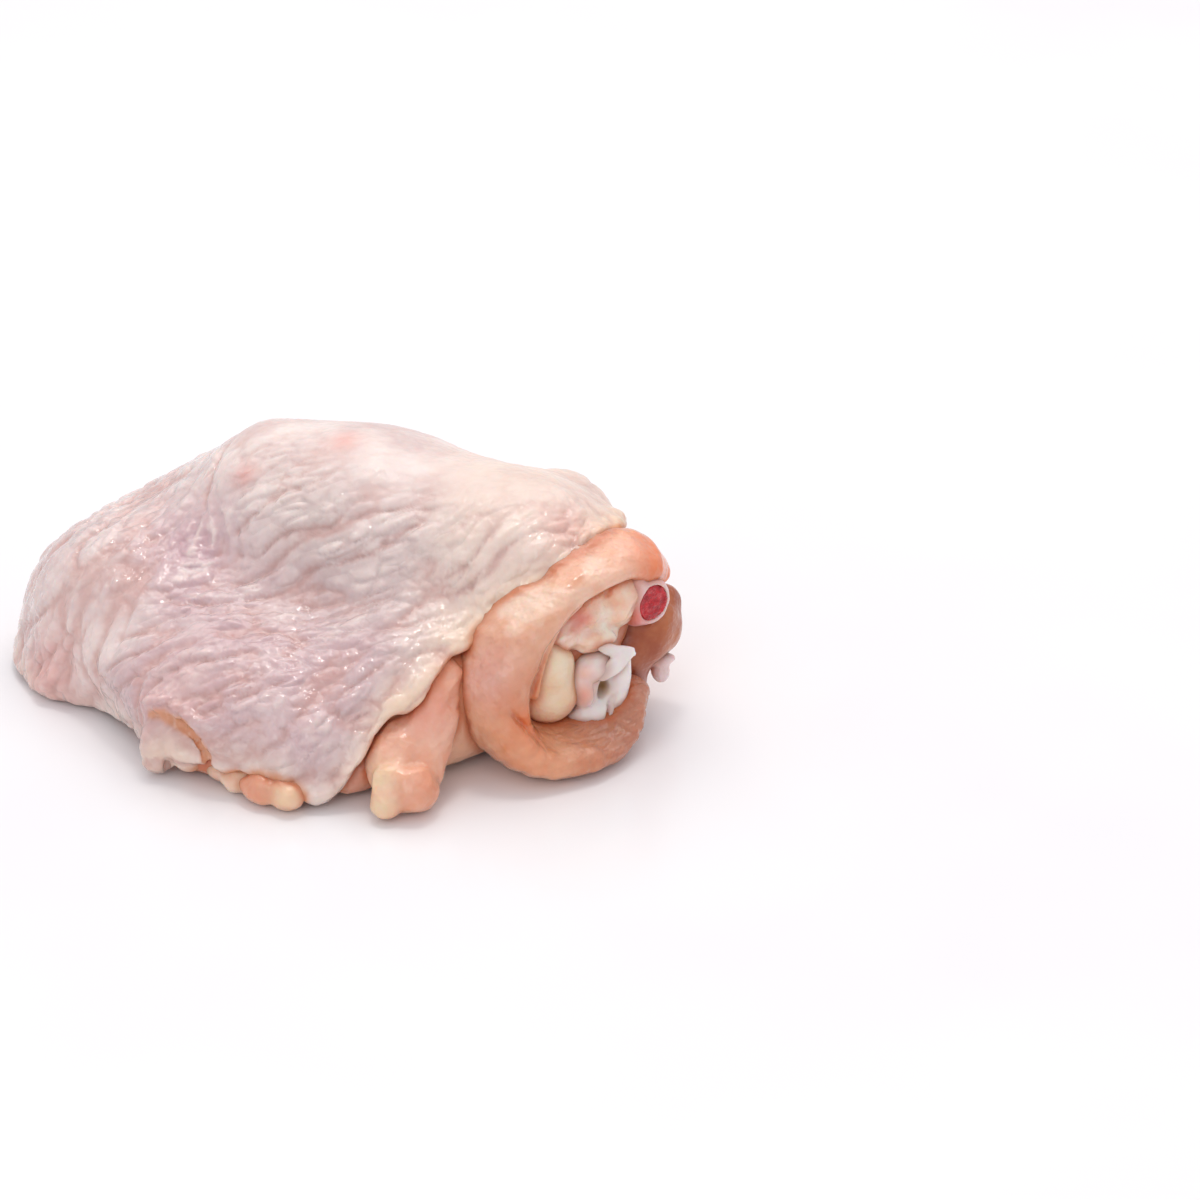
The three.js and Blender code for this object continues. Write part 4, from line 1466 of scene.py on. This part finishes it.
@dataclass(frozen=True)
class KneeFace:
    """What the cut shows inside the curled muscle: pads of fat, cartilage, a flap of it and some meat."""

    knee: Knee

    def lumps(self) -> list[Lump]:
        """The pieces of the knee's face.

        Returns:
            The pieces, from the near side to the far side.
        """
        knee = self.knee
        # Joint cartilage: bluish white, smooth and wet, with blood showing pink at its edges, and dark painted
        # shade in the hollow at its middle.
        cartilage = FleshFinish("cartilage", "#fbf3ef", "#f0e7e5",
                                (("pink", "#f0b4a2", 1.0), ("deep", "#a87d3e", 1.0)),
                                patch_mm=6, grain_mm=1.5, grain_depth_mm=0.03, crinkle_depth_mm=0.12,
                                seam="#d8b0a2", roughness=0.25, wet=0.7, inside=2.0)
        return [
            Lump("cream_pad", "fat_pad", "fat_pad",
                 (knee.blob((15.4, 0.0, 14.6), (4.4, 5.4, 7.8), lean=4),
                  knee.blob((15.8, 0.6, 10.8), (4.5, 5.4, 4.8)),
                  knee.blob((15.2, 0.4, 17.6), (4.0, 4.6, 4.4))),
                 FleshFinish("firm_fat", "#f8d8b4", "#fbe6cc", (("pink", "#ecab8c", 1.0),), patch_mm=6,
                             crinkle_depth_mm=0.12, seam="#cf8558", inside=2.0, wet=0.4),
                 softness=1.5, bumps=0.3,
                 marks=(("pink", knee.place(20, 5, 9), 2.8), ("pink", knee.place(10.6, 3, 13), 2.2))),
            Lump("joint_cartilage", "knee_cartilage", "cartilage",
                 (knee.blob((25.0, -0.4, 11.0), (5.0, 5.6, 6.2), roll=-10),
                  knee.blob((23.6, 2.2, 15.2), (3.2, 4.0, 2.4), roll=25),
                  knee.blob((23.8, 2.4, 6.6), (3.8, 5.2, 2.6), roll=4),
                  knee.blob((28.2, 3.2, 11.0), (2.6, 2.2, 7.4), roll=-12),
                  knee.blob((21.2, 2.6, 11.4), (3.0, 2.2, 3.4), roll=10)),
                 cartilage, softness=0.6, bumps=0.25,
                 hollows=(knee.blob((24.9, 5.4, 11.4), (3.8, 1.1, 2.3), roll=-14),
                          knee.blob((25.6, 6.4, 8.2), (2.2, 0.4, 3.0), roll=-30)),
                 marks=(("pink", knee.place(20.6, 5, 12.0), 2.4), ("pink", knee.place(20.4, 5.0, 16), 2.0),
                        # Painted shade at the bottom of the hollow.
                        ("deep", knee.place(25.1, 2.8, 11.4), 1.8))),
            Lump("cartilage_curl", "cartilage_flap", "cartilage",
                 (knee.blob((27.4, 4.6, 18.6), (0.9, 3.8, 1.3), lean=20, twist=-18, roll=-20),
                  knee.blob((27.0, 5.2, 16.4), (0.8, 4.2, 1.5), lean=-10, twist=-14, roll=34)),
                 cartilage, voxel=0.25, softness=0.5, bumps=0.3, bump_size=2.2),
            # Loose fat of the joint: the orange spot on its top is painted shade under the overhang of the
            # curled muscle.
            Lump("soft_joint_fat", "joint_fat", "joint_fat",
                 (knee.blob((23.5, -2.5, 25.0), (5.6, 7.0, 5.8), roll=10),
                  knee.blob((30.0, -1.8, 25.6), (5.2, 4.2, 6.0), roll=-14),
                  knee.blob((18.4, -2.0, 22.4), (5.2, 4.0, 4.6), roll=30),
                  knee.blob((24.6, -0.6, 20.6), (4.8, 5.6, 2.8), roll=-8)),
                 FleshFinish("loose_fat", "#f8cdb2", "#fff0e0",
                             (("pink", "#e07666", 1.0), ("painted_glow", "#f09a66", 0.8)), patch_mm=4,
                             crinkle_depth_mm=0.3, inside=2.0, wet=0.6),
                 softness=1.0, bumps=0.5, bump_size=3.2,
                 folds=Grain(tuple(knee.along + np.array([0, 0, 0.5])), 6, 2.0, 81), fold_depth=0.6,
                 marks=(("pink", knee.place(20.6, 3.5, 25.6), 2.6), ("painted_glow", knee.place(27, 0, 31), 4.6))),
            # Meat deep in the knee: its dark brown is partly its own colour and partly painted shade, for it
            # lies recessed behind the knee's face.
            Lump("brown_inner_meat", "inner_meat", "inner_meat",
                 (knee.blob((38.6, -5.6, 15.6), (6.2, 7.4, 6.6)),
                  knee.blob((35.0, -4.6, 13.0), (4.6, 6.0, 4.4)),
                  knee.blob((42.0, -6.2, 19.0), (3.6, 5.0, 4.0)),
                  knee.blob((34.0, -4.2, 7.4), (5.0, 4.0, 6.8))),
                 FleshFinish("dark_meat", "#a9552f", "#c4764c", (("purple", "#a55c4c", 1.0),), seam="#8a4126",
                             patch_mm=6, inside=1.2, wet=0.6, roughness=0.3, stretch=(1, 0.4, 1)),
                 bumps=0.5, bump_size=5, marks=(("purple", knee.place(34, -1, 7), 5.5),)),
            Lump("ligament_end", "ligament_tag", "ligament",
                 (knee.blob((40.6, -3.0, 10.0), (1.8, 3.6, 1.2), roll=-8),
                  knee.blob((40.8, -2.6, 8.0), (1.5, 1.8, 2.6), roll=12)),
                 FleshFinish("ligament", "#ecd6d4", "#e3c3c0", (), seam="#c98d78", patch_mm=3, inside=2.0,
                             wet=0.7),
                 voxel=0.25, softness=0.8, bumps=0.25),
        ]


@dataclass(frozen=True)
class FrontFat:
    """The heel of fat that hangs out in front and the lobes of fat under the skin's edge."""

    def lumps(self) -> list[Lump]:
        """The pieces of fat.

        Returns:
            The pieces.
        """
        # Soft thigh fat with a little meat in it: peach, satin, cream where it is pure fat. The lobe beside
        # the flap is nearly pure and so paler.
        soft = FleshFinish("soft_fat", "#e6a080", "#efbfa6",
                           (("cream", "#f3d8b4", 1.0), ("pink", "#e3a598", 0.6)),
                           patch_mm=6, grain_mm=1.2, grain_depth_mm=0.06, roughness=0.3, wet=0.7, inside=3.0)
        pale = replace(soft, name="pale_fat", base="#f2cbb2", second="#fae6d8", seam="#e0a07c")
        return [
            Lump("hanging_fat", "front_fat_lobe", "fat",
                 (Roll(((27.6, -7.2, 17.5, 3.6, 4.0), (28.8, -11.5, 13.2, 3.6, 4.8),
                        (30.2, -16.5, 8.8, 3.6, 5.0), (31.6, -20.2, 5.4, 3.4, 4.8)), FOLD_ACROSS),
                  Roll(((26.5, -13.0, 11.5, 3.0, 4.0), (27.2, -19.8, 8.4, 3.8, 5.0),
                        (29.0, -23.4, 5.4, 4.0, 4.4)), FOLD_ACROSS),
                  Blob((33.2, -23.8, 4.4), (5.0, 4.4, 4.4), (0, 0, 35)),
                  Roll(((31.5, -28.4, 2.8, 2.4, 2.7), (30.0, -26.4, 7.0, 2.0, 2.3)), FOLD_ACROSS)),
                 soft, voxel=0.4, softness=0.9, bumps=0.4, bump_size=4,
                 folds=Grain((0.2, -0.9, -0.3), 9, 2.6, 91), fold_depth=0.45,
                 marks=(("cream", (29.8, -27.6, 7.0), 3.0), ("cream", (31.5, -30.0, 3.0), 2.6),
                        ("pink", (28.6, -14.0, 13.5), 6.0))),
            Lump("edge_fat_left", "edge_fat_near_fold", "fat",
                 (Blob((0.2, -34.4, 3.2), (3.6, 3.0, 2.6), (0, 0, 10)),
                  Blob((4.0, -35.4, 2.6), (3.6, 3.0, 2.6)),
                  Blob((7.2, -34.8, 3.4), (2.8, 2.6, 2.0))),
                 pale, voxel=0.3, softness=0.8, bumps=0.4, bump_size=2.4),
            Lump("edge_fat_right", "edge_fat_near_corner", "fat",
                 (Blob((9.8, -36.0, 2.8), (4.4, 3.2, 2.8), (0, 0, -6)),
                  Blob((15.0, -35.2, 2.8), (3.4, 3.2, 2.7)),
                  Blob((11.6, -34.2, 4.6), (5.0, 2.4, 1.8), (0, 0, 10))),
                 soft, voxel=0.3, softness=0.8, bumps=0.4, bump_size=2.4,
                 marks=(("cream", (16.0, -36.6, 3.4), 2.6),)),
        ]


# ---------------------------------------------------------------- studio

@dataclass(frozen=True)
class Studio:
    """The white table, the soft light and the camera.

    Attributes:
        azimuth: Where the camera stands, in degrees round the thigh.
        elevation: How far above the table it stands.
        distance: How far it stands off, in millimetres.
        aim: The point that it looks at, in the thigh's millimetre frame.
        lens: Focal length in millimetres on a 36 mm sensor.
    """

    azimuth: float = 35.0
    elevation: float = 27.0
    distance: float = 684.0
    aim: tuple[float, float, float] = (37.89, 26.55, 21.51)
    lens: float = 114.0

    def camera(self) -> bpy.types.Object:
        """Places the camera.

        Returns:
            The camera.
        """
        a, e = math.radians(self.azimuth), math.radians(self.elevation)
        back = Vector((math.sin(a) * math.cos(e), -math.cos(a) * math.cos(e), math.sin(e)))
        data = bpy.data.cameras.new("camera")
        data.sensor_width = 36.0
        data.lens = self.lens
        camera = bpy.data.objects.new("camera", data)
        bpy.context.scene.collection.objects.link(camera)
        aim = Vector((np.asarray(self.aim) - FRAME_MIDDLE) * MM)
        camera.location = aim + back * (self.distance * MM)
        camera.rotation_mode = "QUATERNION"
        camera.rotation_quaternion = (-back).to_track_quat("-Z", "Y")
        data.clip_start = 0.05
        data.clip_end = 20.0
        bpy.context.scene.camera = camera
        return camera

    def light(self, name: str, place: tuple[float, float, float], size: tuple[float, float], power: float,
              colour: str = "#ffffff") -> bpy.types.Object:
        """Adds a soft box that faces the thigh.

        Args:
            name: The light's name.
            place: Where it hangs, in metres.
            size: Its width and height, in metres.
            power: Watts.
            colour: Its colour.

        Returns:
            The light.
        """
        data = bpy.data.lights.new(name, "AREA")
        data.shape = "RECTANGLE"
        data.size, data.size_y = size
        data.energy = power
        data.color = linear(colour)[:3]
        lamp = bpy.data.objects.new(name, data)
        bpy.context.scene.collection.objects.link(lamp)
        lamp.location = place
        lamp.rotation_mode = "QUATERNION"
        lamp.rotation_quaternion = (Vector((0, 0, 0.02)) - Vector(place)).to_track_quat("-Z", "Y")
        return lamp

    def floor(self) -> bpy.types.Object:
        """Lays the white table top.

        Returns:
            The floor.
        """
        half = 2.5
        mesh = bpy.data.meshes.new("table_top")
        corners = [(-half, -half, 0), (half, -half, 0), (half, half, 0), (-half, half, 0)]
        mesh.from_pydata(corners, [], [(0, 1, 2, 3)])
        # White laminate, pressed smooth: a faint, blurred mirror image and no pattern.
        shader = Shader("white_table")
        tint = shader.layered(linear("#f4f3f5"), ((shader.patches(60, 2), "#f7f6f7", 1.0),))
        mesh.materials.append(shader.finish({"Base Color": tint, "Roughness": 0.22, "IOR": 1.45}))
        top = bpy.data.objects.new("table_top", mesh)
        bpy.context.scene.collection.objects.link(top)
        return top

    def build(self) -> None:
        """Sets up the whole studio."""
        scene = bpy.context.scene
        scene.view_settings.view_transform = "Standard"
        world = bpy.data.worlds.new("white_room")
        scene.world = world
        world.use_nodes = True
        background = world.node_tree.nodes["Background"]
        background.inputs["Color"].default_value = linear("#fbfaff")
        background.inputs["Strength"].default_value = 0.74
        self.camera()
        self.floor()
        self.light("overhead", (-0.2, 0.35, 0.7), (0.9, 0.6), 2.6, "#fffaf5")
        self.light("window", (-0.1, 0.2, 0.8), (0.14, 0.14), 0.8, "#fffaf5")
        self.light("front_fill", (0.25, -0.8, 0.6), (0.5, 0.4), 1.1)


def main() -> None:
    """Builds the thigh piece by piece, then the studio round it."""
    logging.basicConfig(level=logging.INFO, format="%(message)s")
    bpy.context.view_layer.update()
    body = Body()
    knee = Knee()
    Studio().build()
    parts = [Skin(body), ThighMeat(body), KneeMuscle(knee, body), CutBone(knee), *KneeFace(knee).lumps(),
             *FrontFat().lumps()]
    for part in parts:
        for piece in part.build([other.distance for other in parts if other is not part]):
            LOG.info("%s: %d faces of four corners", piece.name, len(piece.data.polygons))


if __name__ == "__main__":
    main()
